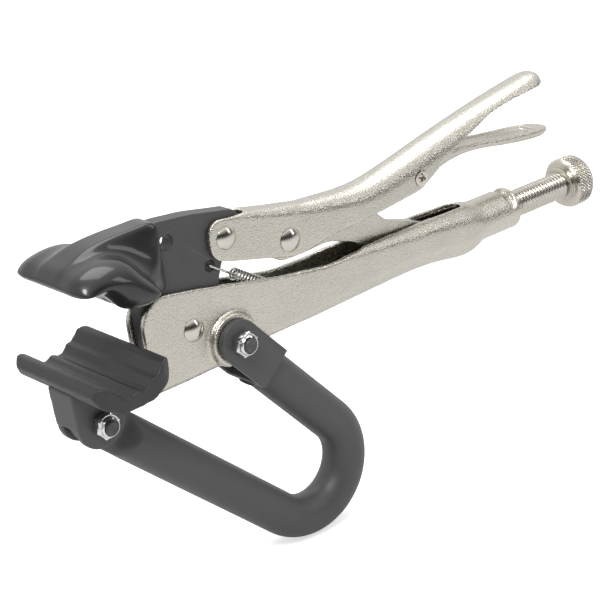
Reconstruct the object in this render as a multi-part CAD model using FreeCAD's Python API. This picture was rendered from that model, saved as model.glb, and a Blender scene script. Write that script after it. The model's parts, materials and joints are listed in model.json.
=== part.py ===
import FreeCAD, Part
import math
import os

# Locking pliers with a swivelling U-shaped arm. All lengths are in millimetres.
# While it is being built the tool lies about its main pivot: +X runs along the
# adjusting screw towards the knob, +Z is the lever's side and Y runs along the
# pivots. At the end everything is moved so that the origin is under the middle
# of the whole tool.

# ---------------------------------------------------------------- pivot places
LEVER_PIVOT = (17.6, 26.0)
LINK_PIVOT = (43.1, 17.1)
RELEASE_PIVOT = (100.7, 21.7)
LINK_TAIL = (108.0, -4.9)
ARM_PIVOT = (14.4, -8.2)
PAD_PIVOT = (-40.0, -17.2)
SPARE_HOLE = (-4.3, 31.1)
SPRING_HOLE = (11.1, 18.1)
SPRING_END = (50.0, -7.6)

# ---------------------------------------------------------------- sheet sizes
JAW_THICKNESS = 6.0
LINK_THICKNESS = 5.0
SHEET = 1.9
SIDE_GAP = 0.15
RUNNING = 0.05
SEAT_GAP = 0.1

# ---------------------------------------------------------------- fixed handle
HANDLE_FRONT = -19.8
HANDLE_FLAT_END = 38.0
TAIL_START = 132.0
TAIL_END = 147.0
TAIL_DIAMETER = 15.0
SLOT_WIDTH = 6.2
SLOT_WIDE = 10.4
SLOT_END = 123.0
CAVITY_END = 125.5
BOSS_RADIUS = 9.0
BOSS_SLOPE = 0.5
BOSS_ROOT = 0.4

# ---------------------------------------------------------------- round parts
RIVET_SHANK = 3.0
RIVET_HEAD = 3.9
RIVET_DOME = 1.6
RELEASE_PIN_RADIUS = 2.4
RELEASE_PIN_BORE = 1.3
RELEASE_PIN_FACE = 7.6
RELEASE_PIN_LIP = 0.35
SPARE_HOLE_RADIUS = 2.6
SPRING_HOLE_RADIUS = 2.0
BOLT_RADIUS = 2.5
NUT_FLATS = 8.0
NUT_HEIGHT = 4.8
NUT_CORNER_CUT = 0.45
NUT_COLLAR_STEP = 0.55
NUT_HEX_SHARE = 0.72
BOLT_HEAD_HEIGHT = 3.5
BOLT_PROUD = 0.7

# ---------------------------------------------------------------- screw and knob
SCREW_DIAMETER = 10.0
SCREW_STUB_RADIUS = 3.5
KNOB_START = 175.5
KNOB_LENGTH = 8.5
KNOB_DIAMETER = 19.0
KNOB_CHAMFER = 1.1
KNOB_COLLAR_RADIUS = 6.6
KNOB_COLLAR_LENGTH = 1.2
STUB_SHARE = 0.6
TIP_CHAMFER = 1.5
LINK_TAIL_RADIUS = 4.5
LINK_TAIL_GAP = 2.6

# ---------------------------------------------------------------- arm
BAR_DIAMETER = 15.0
ARM_ANGLE = 49.0
ARM_STRAIGHT = 60.6
ARM_BEND_RADIUS = 18.45
CLEVIS_LENGTH = 19.2
CLEVIS_SHEET = 2.5
CLEVIS_WIDTH = 15.0
WELD_SIZE = 1.6
BAR_FLAT_THICKNESS = 7.0
BAR_FLAT_LENGTH = 10.0

# ---------------------------------------------------------------- jaw saddle and pad
JAW_EYE_RADIUS = 13.2
LEVER_EYE_RADIUS = 7.6
SADDLE_LENGTH = 40.0
COATING = 1.5
END_ROUND = 5.0
SADDLE_SHEET = 3.2
PAD_LENGTH = 48.0
PAD_SHEET = 1.8
EAR_THICKNESS = 3.0
EAR_RADIUS = 8.2
PAD_CORNER = 6.5
PAD_SPAN = (-52.5, -21.0)
BRACKET_MARGIN = 3.2

# ---------------------------------------------------------------- spring
SPRING_DIAMETER = 4.7
SPRING_WIRE = 0.8
SPRING_COIL_START = 12.5
SPRING_COIL_END = 38.0
SPRING_TAB = 2.4
SPRING_TAB_HALF = 2.2
SPRING_TAB_FOOT = 5.0
SPRING_TAB_BORE = 1.1
HOOK_BEND = 9.5
HOOK_EDGE = 6.0

# ---------------------------------------------------------------- worked-out sizes
CHEEK_INNER = JAW_THICKNESS / 2 + SIDE_GAP
CHEEK_OUTER = CHEEK_INNER + SHEET
BOLT_LINE_HALF = BAR_DIAMETER / 2
CLEVIS_OUTER = BOLT_LINE_HALF + CLEVIS_SHEET
BOSS_FACE = BOLT_LINE_HALF - SEAT_GAP
EAR_INNER = BAR_FLAT_THICKNESS / 2 + SEAT_GAP
EAR_OUTER = EAR_INNER + EAR_THICKNESS
SCREW_TIP = LINK_TAIL[0] + LINK_TAIL_RADIUS + LINK_TAIL_GAP
SCREW_AXIS_Z = LINK_TAIL[1]
TAIL_RADIUS = TAIL_DIAMETER / 2
TAIL_MIDDLE = (TAIL_START + TAIL_END) / 2


# ================================================================ small helpers
def at(x, y, z):
    return FreeCAD.Vector(x, y, z)


def outline_edges(corners):
    """Edges of a closed outline in the XZ plane. A corner is (x, z) or (x, z, radius)."""
    count = len(corners)
    starts = []
    ends = []
    arcs = []
    for index, corner in enumerate(corners):
        here = at(corner[0], 0, corner[1])
        radius = corner[2] if len(corner) > 2 else 0.0
        before = corners[index - 1]
        after = corners[(index + 1) % count]
        to_before = at(before[0], 0, before[1]) - here
        to_after = at(after[0], 0, after[1]) - here
        length_before = to_before.Length
        length_after = to_after.Length
        to_before.normalize()
        to_after.normalize()
        half_angle = to_before.getAngle(to_after) / 2
        reach = radius / math.tan(half_angle)
        longest = 0.49 * min(length_before, length_after)
        if reach > longest:
            reach = longest
            radius = reach * math.tan(half_angle)
        start = here + to_before * reach
        end = here + to_after * reach
        starts.append(start)
        ends.append(end)
        if radius > 0:
            bisector = to_before + to_after
            bisector.normalize()
            middle = here + bisector * (radius / math.sin(half_angle) - radius)
            arcs.append(Part.Arc(start, middle, end).toShape())
        else:
            arcs.append(None)
    edges = []
    for index in range(count):
        if arcs[index] is not None:
            edges.append(arcs[index])
        next_start = starts[(index + 1) % count]
        if (next_start - ends[index]).Length > 1e-6:
            edges.append(Part.LineSegment(ends[index], next_start).toShape())
    return edges


def plate(corners, y_low, y_high):
    """A flat plate with the given XZ outline, between two Y planes."""
    face = Part.Face(Part.Wire(outline_edges(corners)))
    solid = face.extrude(at(0, y_high - y_low, 0))
    solid.translate(at(0, y_low, 0))
    return solid


def rod_y(centre, radius, y_low, y_high):
    """A round rod along Y."""
    return Part.makeCylinder(radius, y_high - y_low, at(centre[0], y_low, centre[1]), at(0, 1, 0))


def both_sides(y_low, y_high):
    """The span between two distances from the middle plane, on the +Y side and on the -Y side."""
    return ((y_low, y_high), (-y_high, -y_low))


def domed_head(centre, face_y, side, radius, height):
    """A domed rivet head standing on the plane y = side * face_y."""
    ball = (radius * radius + height * height) / (2 * height)
    middle = side * (face_y + height - ball)
    sphere = Part.makeSphere(ball, at(centre[0], middle, centre[1]))
    low, high = sorted((side * face_y, side * (face_y + height)))
    return sphere.common(rod_y(centre, radius, low, high))


def rivet(centre, face_y, shank, head, dome):
    """A riveted pin with a domed head on each outer face."""
    body = rod_y(centre, shank, -face_y, face_y)
    for side in (-1, 1):
        body = body.fuse(domed_head(centre, face_y, side, head, dome))
    return body.removeSplitter()


def hexagon(centre, flats, y_low, y_high):
    """A hexagonal prism along Y."""
    reach = flats / math.sqrt(3)
    corners = []
    for index in range(6):
        angle = math.radians(60 * index + 12)
        corners.append((centre[0] + reach * math.cos(angle), centre[1] + reach * math.sin(angle)))
    return plate(corners, y_low, y_high)


def bolt_and_nut(centre, face_y):
    """A hexagon bolt headed on the +Y side, and its lock nut on the -Y side."""
    tip = -(face_y + NUT_HEIGHT + BOLT_PROUD)
    shank = rod_y(centre, BOLT_RADIUS, tip, face_y)
    head = hexagon(centre, NUT_FLATS, face_y, face_y + BOLT_HEAD_HEIGHT)
    crown = rod_y(centre, NUT_FLATS / 2 + NUT_CORNER_CUT, face_y, face_y + BOLT_HEAD_HEIGHT)
    bolt = shank.fuse(head.common(crown)).removeSplitter()
    collar_start = -(face_y + NUT_HEIGHT)
    hex_end = -(face_y + NUT_HEX_SHARE * NUT_HEIGHT)
    nut = hexagon(centre, NUT_FLATS, hex_end, -face_y)
    nut = nut.common(rod_y(centre, NUT_FLATS / 2 + NUT_CORNER_CUT, hex_end, -face_y))
    nut = nut.fuse(rod_y(centre, NUT_FLATS / 2 - NUT_COLLAR_STEP, collar_start, hex_end))
    nut = nut.cut(rod_y(centre, BOLT_RADIUS, tip - 1, 0))
    return bolt, nut.removeSplitter()


def direction(angle):
    """The unit direction in XZ that points down and towards +X by the angle in degrees."""
    return math.cos(math.radians(angle)), -math.sin(math.radians(angle))


def along(start, way, distance, offset=0.0):
    """A point at a distance along a direction, offset to its left (towards +Z and +X)."""
    side = (-way[1], way[0])
    return start[0] + way[0] * distance + side[0] * offset, start[1] + way[1] * distance + side[1] * offset


def strip(points, thickness):
    """The corners of a bent strip whose middle line goes through the points."""
    left = []
    right = []
    half = thickness / 2
    for index, point in enumerate(points):
        before = points[max(index - 1, 0)]
        after = points[min(index + 1, len(points) - 1)]
        way = at(after[0] - before[0], 0, after[1] - before[1])
        way.normalize()
        left.append((point[0] - way.z * half, point[1] + way.x * half))
        right.append((point[0] + way.z * half, point[1] - way.x * half))
    return left + right[::-1]


def section(x, half_width, bottom, top, bottom_radius, top_radius):
    """A closed rounded-rectangle wire across X; each section has the same eight edges."""
    bottom_radius = min(bottom_radius, half_width - 0.02, (top - bottom) / 2 - 0.01)
    top_radius = min(top_radius, half_width - 0.02, (top - bottom) / 2 - 0.01)
    corners = (
        (half_width, bottom, bottom_radius, -45),
        (half_width, top, top_radius, 45),
        (-half_width, top, top_radius, 135),
        (-half_width, bottom, bottom_radius, 225),
    )
    starts = []
    ends = []
    arcs = []
    for y, z, radius, angle in corners:
        centre_y = y - math.copysign(radius, y)
        centre_z = z + radius if angle in (-45, 225) else z - radius
        arc_points = []
        for turn in (-45, 0, 45):
            a = math.radians(angle + turn)
            arc_points.append(at(x, centre_y + radius * math.cos(a), centre_z + radius * math.sin(a)))
        arcs.append(Part.Arc(*arc_points).toShape())
        starts.append(arc_points[0])
        ends.append(arc_points[2])
    edges = []
    for index in range(4):
        edges.append(arcs[index])
        edges.append(Part.LineSegment(ends[index], starts[(index + 1) % 4]).toShape())
    return Part.Wire(edges)


def loft(sections, ruled=False):
    return Part.makeLoft(sections, True, ruled)


# ================================================================ fixed handle
HANDLE_OUTLINE = [
    (-17.6, -17.3, 2.0), (HANDLE_FRONT, 17.0, 15.5), (4.6, 12.9, 40), (38.2, 5.7, 60), (56.0, 4.0, 60),
    (70.0, 4.5, 40), (96.0, 8.0), (150.0, 12.0), (150.0, -20.0), (60.0, -20.0), (44.0, -13.55, 30),
    (30.4, -13.6, 60), (8.7, -16.8, 80),
]
# Stations along X: place, half width, bottom, top, bottom corner, top corner.
HANDLE_STATIONS = [
    (HANDLE_FLAT_END, CHEEK_OUTER, -13.55, 8.5, 2.6, 0.6),
    (43.0, CHEEK_OUTER + 0.25, -13.5, 8.2, 3.0, 0.7),
    (50.0, CHEEK_OUTER + 1.5, -13.2, 7.4, 4.0, 1.0),
    (58.0, 7.5, -12.9, 6.4, 5.2, 1.6),
    (68.0, 7.75, -12.7, 5.4, 6.0, 2.6),
    (82.0, 7.8, -12.4, 4.9, 6.6, 3.6),
    (97.0, 7.85, -12.3, 4.5, 7.0, 4.6),
    (109.0, 7.95, -13.3, 4.3, 7.4, 5.4),
    (118.0, 8.0, -14.7, 4.2, 7.7, 6.4),
    (123.5, 7.95, -14.7, 3.9, 7.8, 7.0),
    (128.5, 7.65, -13.2, 2.9, 7.6, 7.5),
    (TAIL_START, TAIL_RADIUS, SCREW_AXIS_Z - TAIL_RADIUS, SCREW_AXIS_Z + TAIL_RADIUS, 7.5, 7.5),
    (TAIL_MIDDLE, TAIL_RADIUS, SCREW_AXIS_Z - TAIL_RADIUS, SCREW_AXIS_Z + TAIL_RADIUS, 7.5, 7.5),
    (TAIL_END, TAIL_RADIUS, SCREW_AXIS_Z - TAIL_RADIUS, SCREW_AXIS_Z + TAIL_RADIUS, 7.5, 7.5),
]
HANDLE_FLOOR = [
    (-24.0, -17.3), (-4.0, -17.1), (10.0, -16.6), (22.0, -14.9), (31.0, -13.7), (HANDLE_FLAT_END, -13.55),
]


def handle_section(station, inset):
    x, half_width, bottom, top, bottom_radius, top_radius = station
    inner_bottom = max(bottom_radius - inset, 0.5)
    inner_top = max(top_radius - inset, 0.4)
    return section(x, half_width - inset, bottom + inset, top - inset, inner_bottom, inner_top)


def fixed_handle():
    front = [section(x, CHEEK_OUTER, z, 19.0, 2.6, 0.6) for x, z in HANDLE_FLOOR]
    front_inside = [section(x, CHEEK_INNER, z + SHEET, 22.0, 0.9, 0.4) for x, z in HANDLE_FLOOR]
    rear = [handle_section(station, 0.0) for station in HANDLE_STATIONS]
    rear_inside = [handle_section(station, SHEET) for station in HANDLE_STATIONS if station[0] < CAVITY_END]
    body = loft(rear).cut(loft(rear_inside))
    channel = loft(front, True).cut(loft(front_inside, True))
    body = body.fuse(channel)
    # The slot along the top: as wide as the inside in front, narrow towards the tail.
    narrow = SLOT_WIDTH / 2
    slot_end = SLOT_END - narrow
    one_side = [(-30, CHEEK_INNER), (HANDLE_FLAT_END, CHEEK_INNER), (58, SLOT_WIDE / 2),
                (72, SLOT_WIDE / 2 - 0.2), (97, narrow), (slot_end, narrow)]
    border = [at(x, -half, 0) for x, half in one_side] + [at(x, half, 0) for x, half in reversed(one_side)]
    slot = Part.makePolygon(border + border[:1])
    slot = Part.Face(slot).extrude(at(0, 0, 40))
    slot = slot.fuse(Part.makeCylinder(narrow, 40, at(slot_end, 0, 0)))
    body = body.cut(slot)
    body = body.common(plate(HANDLE_OUTLINE, -12, 12))
    # A raised round boss on each cheek carries the arm.
    for low, high in both_sides(CHEEK_OUTER - BOSS_ROOT, BOSS_FACE):
        side = 1 if low > 0 else -1
        base = side * (CHEEK_OUTER - BOSS_ROOT)
        cone = Part.makeCone(BOSS_RADIUS + BOSS_SLOPE, BOSS_RADIUS, high - low,
                             at(ARM_PIVOT[0], base, ARM_PIVOT[1]), at(0, side, 0))
        body = body.fuse(cone.common(plate(HANDLE_OUTLINE, -12, 12)))
        recess = BOSS_FACE - SHEET
        inner_low, inner_high = sorted((side * (CHEEK_INNER - 0.1), side * recess))
        body = body.cut(rod_y(ARM_PIVOT, BOSS_RADIUS - SHEET, inner_low, inner_high))
    bore = Part.makeCylinder(SCREW_DIAMETER / 2, 60, at(CAVITY_END - 4, 0, SCREW_AXIS_Z), at(1, 0, 0))
    body = body.cut(bore)
    body = body.cut(rod_y((0, 0), RIVET_SHANK, -20, 20))
    body = body.cut(rod_y(ARM_PIVOT, BOLT_RADIUS + RUNNING, -20, 20))
    return body.removeSplitter()


def spring_tab(handle):
    """The upright tab that holds the spring's rear hook, welded to the channel's floor."""
    x, z = SPRING_END
    base = z - SPRING_TAB_FOOT
    top = z + SPRING_TAB_HALF + 0.4
    corners = [(x - 4, base), (x + 5, base), (x + SPRING_TAB_HALF, top, 2.0), (x - SPRING_TAB_HALF, top, 2.0)]
    tab = plate(corners, -SPRING_TAB / 2, SPRING_TAB / 2)
    return tab.cut(handle).cut(rod_y(SPRING_END, SPRING_TAB_BORE, -5, 5))


# ================================================================ upper jaw
JAW_OUTLINE = [
    (-16.4, -12.4, 5), (-17.6, 6.0, 8), (-18.2, 18.0, 3), (-24.0, 23.5, 3), (-38.5, 30.4, 3),
    (-38.5, 33.6, 3), (-30.0, 37.9, 12), (-8.0, 38.9, 60), (6.3, 37.3, 60), (16.5, 35.2, 12),
    (26.0, 33.4, 7.3), (25.2, 18.0, 7.3),
    (16.2, 18.3, 2.0), (14.0, 12.5, 4), (13.0, 0.0, 8), (9.0, -12.4, 9),
]
SADDLE_OUTER = [
    (-48.1, 28.0, 2.6), (-48.1, 34.0, 3.0), (-38.5, 36.7, 9), (-26.2, 35.6, 7), (-17.4, 23.4, 4),
    (-20.6, 18.8, 2.8),
    (-30.6, 19.0, 2.8), (-37.0, 27.9, 4),
]
SADDLE_LINE = [(-46.0, 30.7), (-36.0, 32.4), (-28.6, 29.6), (-22.6, 21.6)]


def jaw_plate():
    half = JAW_THICKNESS / 2
    body = plate(JAW_OUTLINE, -half, half)
    body = body.fuse(rod_y((0, 0), JAW_EYE_RADIUS, -half, half))
    body = body.fuse(rod_y(LEVER_PIVOT, LEVER_EYE_RADIUS, -half, half))
    body = body.cut(rod_y((0, 0), RIVET_SHANK + RUNNING, -half - 1, half + 1))
    body = body.cut(rod_y(LEVER_PIVOT, RIVET_SHANK + RUNNING, -half - 1, half + 1))
    body = body.cut(rod_y(SPARE_HOLE, SPARE_HOLE_RADIUS, -half - 1, half + 1))
    body = body.cut(rod_y(SPRING_HOLE, SPRING_HOLE_RADIUS, -half - 1, half + 1))
    return body.removeSplitter()


def jaw_wings():
    """The bent steel saddle plates, one welded to each side of the jaw plate."""
    corners = [corner + (2.0,) for corner in strip(SADDLE_LINE, SADDLE_SHEET)]
    wings = []
    for low, high in both_sides(JAW_THICKNESS / 2, SADDLE_LENGTH / 2 - COATING - 1.0):
        wings.append(plate(corners, low, high))
    return Part.makeCompound(wings)


def jaw_coating(plate_solid, wings):
    """The thick dipped skin over the saddle and over the front of the jaw plate."""
    half = SADDLE_LENGTH / 2
    body = plate(SADDLE_OUTER, -half + END_ROUND, half - END_ROUND)
    middle = (-33.0, 28.5)
    steps = 4
    for side in (-1, 1):
        rings = []
        for step in range(steps + 1):
            angle = math.pi / 2 * step / steps * 0.86
            reach = END_ROUND * math.sin(angle) / math.sin(math.pi / 2 * 0.86)
            shrink = 1 - 0.3 * (1 - math.cos(angle))
            ring = []
            for x, z, radius in SADDLE_OUTER:
                ring.append((middle[0] + (x - middle[0]) * shrink, middle[1] + (z - middle[1]) * shrink,
                             radius * shrink))
            wire = Part.Wire(outline_edges(ring))
            wire.translate(at(0, side * (half - END_ROUND + reach), 0))
            rings.append(wire)
        body = body.fuse(loft(rings))
    web_half = JAW_THICKNESS / 2 + COATING
    web = plate([(-7.6, 16.6, 0.8), (-7.8, 39.9, 1.0), (-20.0, 40.3, 30), (-31.0, 39.3, 10), (-40.5, 35.0, 4),
                 (-40.5, 29.0, 3), (-30.0, 22.0, 3), (-22.0, 17.0, 3), (-18.9, 16.4, 2)], -web_half, web_half)
    body = body.fuse(web)
    body = body.cut(plate_solid)
    for wing in wings.Solids:
        body = body.cut(wing)
    return body.removeSplitter()


# ================================================================ movable handle
LEVER_OUTLINE = [
    (11.0, 33.3, 6.3), (22.0, 32.0, 8), (30.0, 31.5), (40.0, 60.0), (175.0, 60.0), (175.0, 38.6),
    (159.3, 37.6, 30), (148.0, 36.6, 40), (136.9, 34.8, 40), (118.0, 27.6, 60), (106.5, 20.9, 20),
    (100.0, 17.3, 14),
    (84.0, 15.5, 60), (60.0, 13.2, 60), (46.5, 10.2, 14), (20.0, 17.2, 30), (11.0, 19.8, 6.3),
]
# Stations along X: place, half width, top, top corner. The front is straight up to the link rivet.
LEVER_FRONT = [
    (8.0, CHEEK_OUTER, 35.4, 1.6), (20.0, CHEEK_OUTER, 33.6, 1.7), (30.0, CHEEK_OUTER, 31.2, 2.4),
    (39.0, CHEEK_OUTER, 29.4, 3.2), (48.0, CHEEK_OUTER, 27.8, 3.6),
]
LEVER_STATIONS = [
    (48.0, CHEEK_OUTER, 27.8, 3.6), (56.0, CHEEK_OUTER + 0.6, 26.7, 4.3), (66.0, 6.5, 25.9, 5.2),
    (78.0, 7.2, 25.9, 6.2), (90.0, 7.5, 27.9, 6.8), (104.0, 7.6, 31.1, 7.0), (120.0, 7.7, 34.7, 7.0),
    (136.0, 7.7, 37.9, 6.8), (150.0, 7.6, 40.4, 6.6), (158.0, 7.2, 41.7, 6.2), (162.6, 6.2, 42.1, 5.4),
    (164.9, 4.2, 41.4, 3.6), (165.8, 1.8, 40.2, 1.4),
]
LEVER_SKIRT = -5.0
LEVER_CAVITY_END = 163.0


def lever_sections(stations):
    """The outer and the inner wires at each station of the movable handle."""
    outer = []
    inside = []
    for x, half_width, top, radius in stations:
        outer.append(section(x, half_width, LEVER_SKIRT, top, 0.3, radius))
        if x < LEVER_CAVITY_END:
            inner_radius = max(radius - SHEET, 0.4)
            inside.append(section(x, half_width - SHEET, LEVER_SKIRT - 2, top - SHEET, 0.3, inner_radius))
    return outer, inside


def lever_handle():
    front, front_inside = lever_sections(LEVER_FRONT)
    rear, rear_inside = lever_sections(LEVER_STATIONS)
    body = loft(front, True).cut(loft(front_inside, True))
    body = body.fuse(loft(rear).cut(loft(rear_inside)))
    body = body.common(plate(LEVER_OUTLINE, -12, 12))
    # The roof starts behind the jaw plate in an arch, so that the handle can swing up.
    arch = Part.makeBox(25.0, 2 * CHEEK_INNER, 60, at(0, -CHEEK_INNER, 0))
    arch = arch.fuse(Part.makeCylinder(CHEEK_INNER, 60, at(25.0, 0, 0)))
    body = body.cut(arch)
    for centre in (LEVER_PIVOT, LINK_PIVOT):
        body = body.cut(rod_y(centre, RIVET_SHANK, -20, 20))
    body = body.cut(rod_y(RELEASE_PIVOT, RELEASE_PIN_RADIUS, -20, 20))
    return body.removeSplitter()


LINK_OUTLINE = [
    (36.2, 24.3, 6.8), (46.0, 24.0, 20), (81.0, 15.4, 2.5), (88.4, 8.6, 5), (99.0, 5.4, 12),
    (LINK_TAIL[0] + LINK_TAIL_RADIUS, LINK_TAIL[1] + LINK_TAIL_RADIUS, LINK_TAIL_RADIUS),
    (LINK_TAIL[0] + LINK_TAIL_RADIUS, LINK_TAIL[1] - LINK_TAIL_RADIUS, LINK_TAIL_RADIUS),
    (101.0, -8.6, 20), (88.0, -4.6, 15), (71.5, 6.6, 15), (61.0, 10.2, 15), (48.6, 9.6, 8), (36.2, 9.9, 6.9),
]


def toggle_link():
    half = LINK_THICKNESS / 2
    body = plate(LINK_OUTLINE, -half, half)
    return body.cut(rod_y(LINK_PIVOT, RIVET_SHANK + RUNNING, -half - 1, half + 1))


# ================================================================ release lever
# Stations along X: place, half width, bottom, edge height.
RELEASE_STATIONS = [
    (92.0, 4.3, 16.2, 22.6), (101.0, 4.5, 16.8, 24.7), (108.0, 4.7, 18.9, 25.2), (116.0, 4.9, 21.7, 25.9),
    (124.0, 5.2, 22.9, 25.8), (133.0, 5.9, 22.5, 25.0), (143.0, 6.4, 20.9, 23.6), (153.0, 6.5, 19.5, 22.4),
    (161.0, 5.9, 18.8, 21.5), (165.5, 4.3, 18.9, 21.0), (167.6, 1.9, 19.5, 20.7),
]
RELEASE_SHEET = 1.5
RELEASE_CAVITY_END = 164.0


def release_lever():
    outer = []
    inside = []
    for x, w, low, high in RELEASE_STATIONS:
        outer.append(section(x, w, low, high, min(3.2, (high - low) * 0.8), 0.3))
        if x < RELEASE_CAVITY_END:
            inside.append(section(x, w - RELEASE_SHEET, low + RELEASE_SHEET, high + 4, 1.6, 0.3))
    body = loft(outer).cut(loft(inside))
    nose = plate([(82.6, 16.0, 1.2), (95.0, 16.6), (95.0, 20.0), (90.0, 21.5, 2), (84.0, 20.0, 2)], -2.4, 2.4)
    body = body.fuse(nose)
    return body.cut(rod_y(RELEASE_PIVOT, RELEASE_PIN_RADIUS + RUNNING, -20, 20)).removeSplitter()


def release_pin():
    """The hollow pin, rolled over a little on each cheek."""
    reach = RELEASE_PIN_FACE + RELEASE_PIN_LIP
    body = rod_y(RELEASE_PIVOT, RELEASE_PIN_RADIUS, -reach, reach)
    return body.cut(rod_y(RELEASE_PIVOT, RELEASE_PIN_BORE, -20, 20))


# ================================================================ screw and knob
def adjusting_screw():
    radius = SCREW_DIAMETER / 2 - RUNNING
    shoulder = KNOB_START - KNOB_COLLAR_LENGTH - SEAT_GAP
    body = Part.makeCylinder(radius, shoulder - SCREW_TIP - TIP_CHAMFER,
                             at(SCREW_TIP + TIP_CHAMFER, 0, SCREW_AXIS_Z), at(1, 0, 0))
    tip = Part.makeCone(radius - TIP_CHAMFER, radius, TIP_CHAMFER,
                        at(SCREW_TIP, 0, SCREW_AXIS_Z), at(1, 0, 0))
    stub_end = KNOB_START + KNOB_LENGTH * STUB_SHARE
    stub = Part.makeCylinder(SCREW_STUB_RADIUS, stub_end - shoulder,
                             at(shoulder, 0, SCREW_AXIS_Z), at(1, 0, 0))
    return body.fuse(tip).fuse(stub).removeSplitter()


def adjusting_knob():
    radius = KNOB_DIAMETER / 2
    start = at(KNOB_START, 0, SCREW_AXIS_Z)
    body = Part.makeCylinder(radius, KNOB_LENGTH, start, at(1, 0, 0))
    rims = [edge for edge in body.Edges if isinstance(edge.Curve, Part.Circle)]
    body = body.makeChamfer(KNOB_CHAMFER, rims)
    collar = Part.makeCylinder(KNOB_COLLAR_RADIUS, KNOB_COLLAR_LENGTH,
                               at(KNOB_START - KNOB_COLLAR_LENGTH, 0, SCREW_AXIS_Z), at(1, 0, 0))
    body = body.fuse(collar)
    bore_start = KNOB_START - KNOB_COLLAR_LENGTH
    bore_end = KNOB_START + KNOB_LENGTH * STUB_SHARE + SEAT_GAP
    bore = Part.makeCylinder(SCREW_STUB_RADIUS + RUNNING, bore_end - bore_start,
                             at(bore_start, 0, SCREW_AXIS_Z), at(1, 0, 0))
    return body.cut(bore).removeSplitter()


# ================================================================ arm
UPPER_WAY = direction(ARM_ANGLE)


def arm_geometry():
    """The bar's bend centre, the two tangent points and the lower leg's direction."""
    turn_start = along(ARM_PIVOT, UPPER_WAY, ARM_STRAIGHT)
    centre = along(ARM_PIVOT, UPPER_WAY, ARM_STRAIGHT, -ARM_BEND_RADIUS)
    span_x = centre[0] - PAD_PIVOT[0]
    span_z = centre[1] - PAD_PIVOT[1]
    distance = math.hypot(span_x, span_z)
    slope = math.degrees(math.atan2(-span_z, span_x)) + math.degrees(math.asin(ARM_BEND_RADIUS / distance))
    way = direction(slope)
    leg = math.sqrt(distance ** 2 - ARM_BEND_RADIUS ** 2)
    turn_end = along(PAD_PIVOT, way, leg)
    return turn_start, centre, turn_end, way


TURN_START, TURN_CENTRE, TURN_END, LOWER_WAY = arm_geometry()


def arm_bar():
    start = along(ARM_PIVOT, UPPER_WAY, CLEVIS_LENGTH)
    end = along(PAD_PIVOT, LOWER_WAY, BAR_FLAT_LENGTH)
    # The far point of the bend lies opposite to both tangent points.
    to_start = at(TURN_START[0] - TURN_CENTRE[0], 0, TURN_START[1] - TURN_CENTRE[1])
    to_end = at(TURN_END[0] - TURN_CENTRE[0], 0, TURN_END[1] - TURN_CENTRE[1])
    out = to_start + to_end
    if out.Length < 1e-6 or out.dot(at(UPPER_WAY[0], 0, UPPER_WAY[1])) < 0:
        out = at(UPPER_WAY[0] + LOWER_WAY[0], 0, UPPER_WAY[1] + LOWER_WAY[1])
    out.normalize()
    far = at(TURN_CENTRE[0], 0, TURN_CENTRE[1]) + out * ARM_BEND_RADIUS
    path = Part.Wire([
        Part.LineSegment(at(start[0], 0, start[1]), at(TURN_START[0], 0, TURN_START[1])).toShape(),
        Part.Arc(at(TURN_START[0], 0, TURN_START[1]), far, at(TURN_END[0], 0, TURN_END[1])).toShape(),
        Part.LineSegment(at(TURN_END[0], 0, TURN_END[1]), at(end[0], 0, end[1])).toShape(),
    ])
    ring = Part.Circle(at(start[0], 0, start[1]), at(UPPER_WAY[0], 0, UPPER_WAY[1]), BAR_DIAMETER / 2)
    body = path.makePipe(Part.Face(Part.Wire(ring.toShape())))
    # The lower end is pressed into a flat tongue, rounded about the pad's bolt.
    half = BAR_DIAMETER / 2 - SEAT_GAP
    root = BAR_FLAT_LENGTH + 4
    tongue = [along(PAD_PIVOT, LOWER_WAY, -half, -half) + (half,), along(PAD_PIVOT, LOWER_WAY, root, -half),
              along(PAD_PIVOT, LOWER_WAY, root, half), along(PAD_PIVOT, LOWER_WAY, -half, half) + (half,)]
    body = body.fuse(plate(tongue, -BAR_FLAT_THICKNESS / 2, BAR_FLAT_THICKNESS / 2))
    return body.cut(rod_y(PAD_PIVOT, BOLT_RADIUS + RUNNING, -BAR_DIAMETER, BAR_DIAMETER)).removeSplitter()


def arm_clevis():
    """A folded bracket: two ears on the handle's bosses and a base for the bar."""
    half = CLEVIS_WIDTH / 2
    base_start = CLEVIS_LENGTH - CLEVIS_SHEET
    ear = [along(ARM_PIVOT, UPPER_WAY, -half, -half) + (half,),
           along(ARM_PIVOT, UPPER_WAY, CLEVIS_LENGTH, -half),
           along(ARM_PIVOT, UPPER_WAY, CLEVIS_LENGTH, half),
           along(ARM_PIVOT, UPPER_WAY, -half, half) + (half,)]
    base = [along(ARM_PIVOT, UPPER_WAY, base_start, -half), along(ARM_PIVOT, UPPER_WAY, CLEVIS_LENGTH, -half),
            along(ARM_PIVOT, UPPER_WAY, CLEVIS_LENGTH, half), along(ARM_PIVOT, UPPER_WAY, base_start, half)]
    body = plate(base, -CLEVIS_OUTER, CLEVIS_OUTER)
    for low, high in both_sides(BOLT_LINE_HALF, CLEVIS_OUTER):
        body = body.fuse(plate(ear, low, high))
    return body.cut(rod_y(ARM_PIVOT, BOLT_RADIUS, -30, 30)).removeSplitter()


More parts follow.
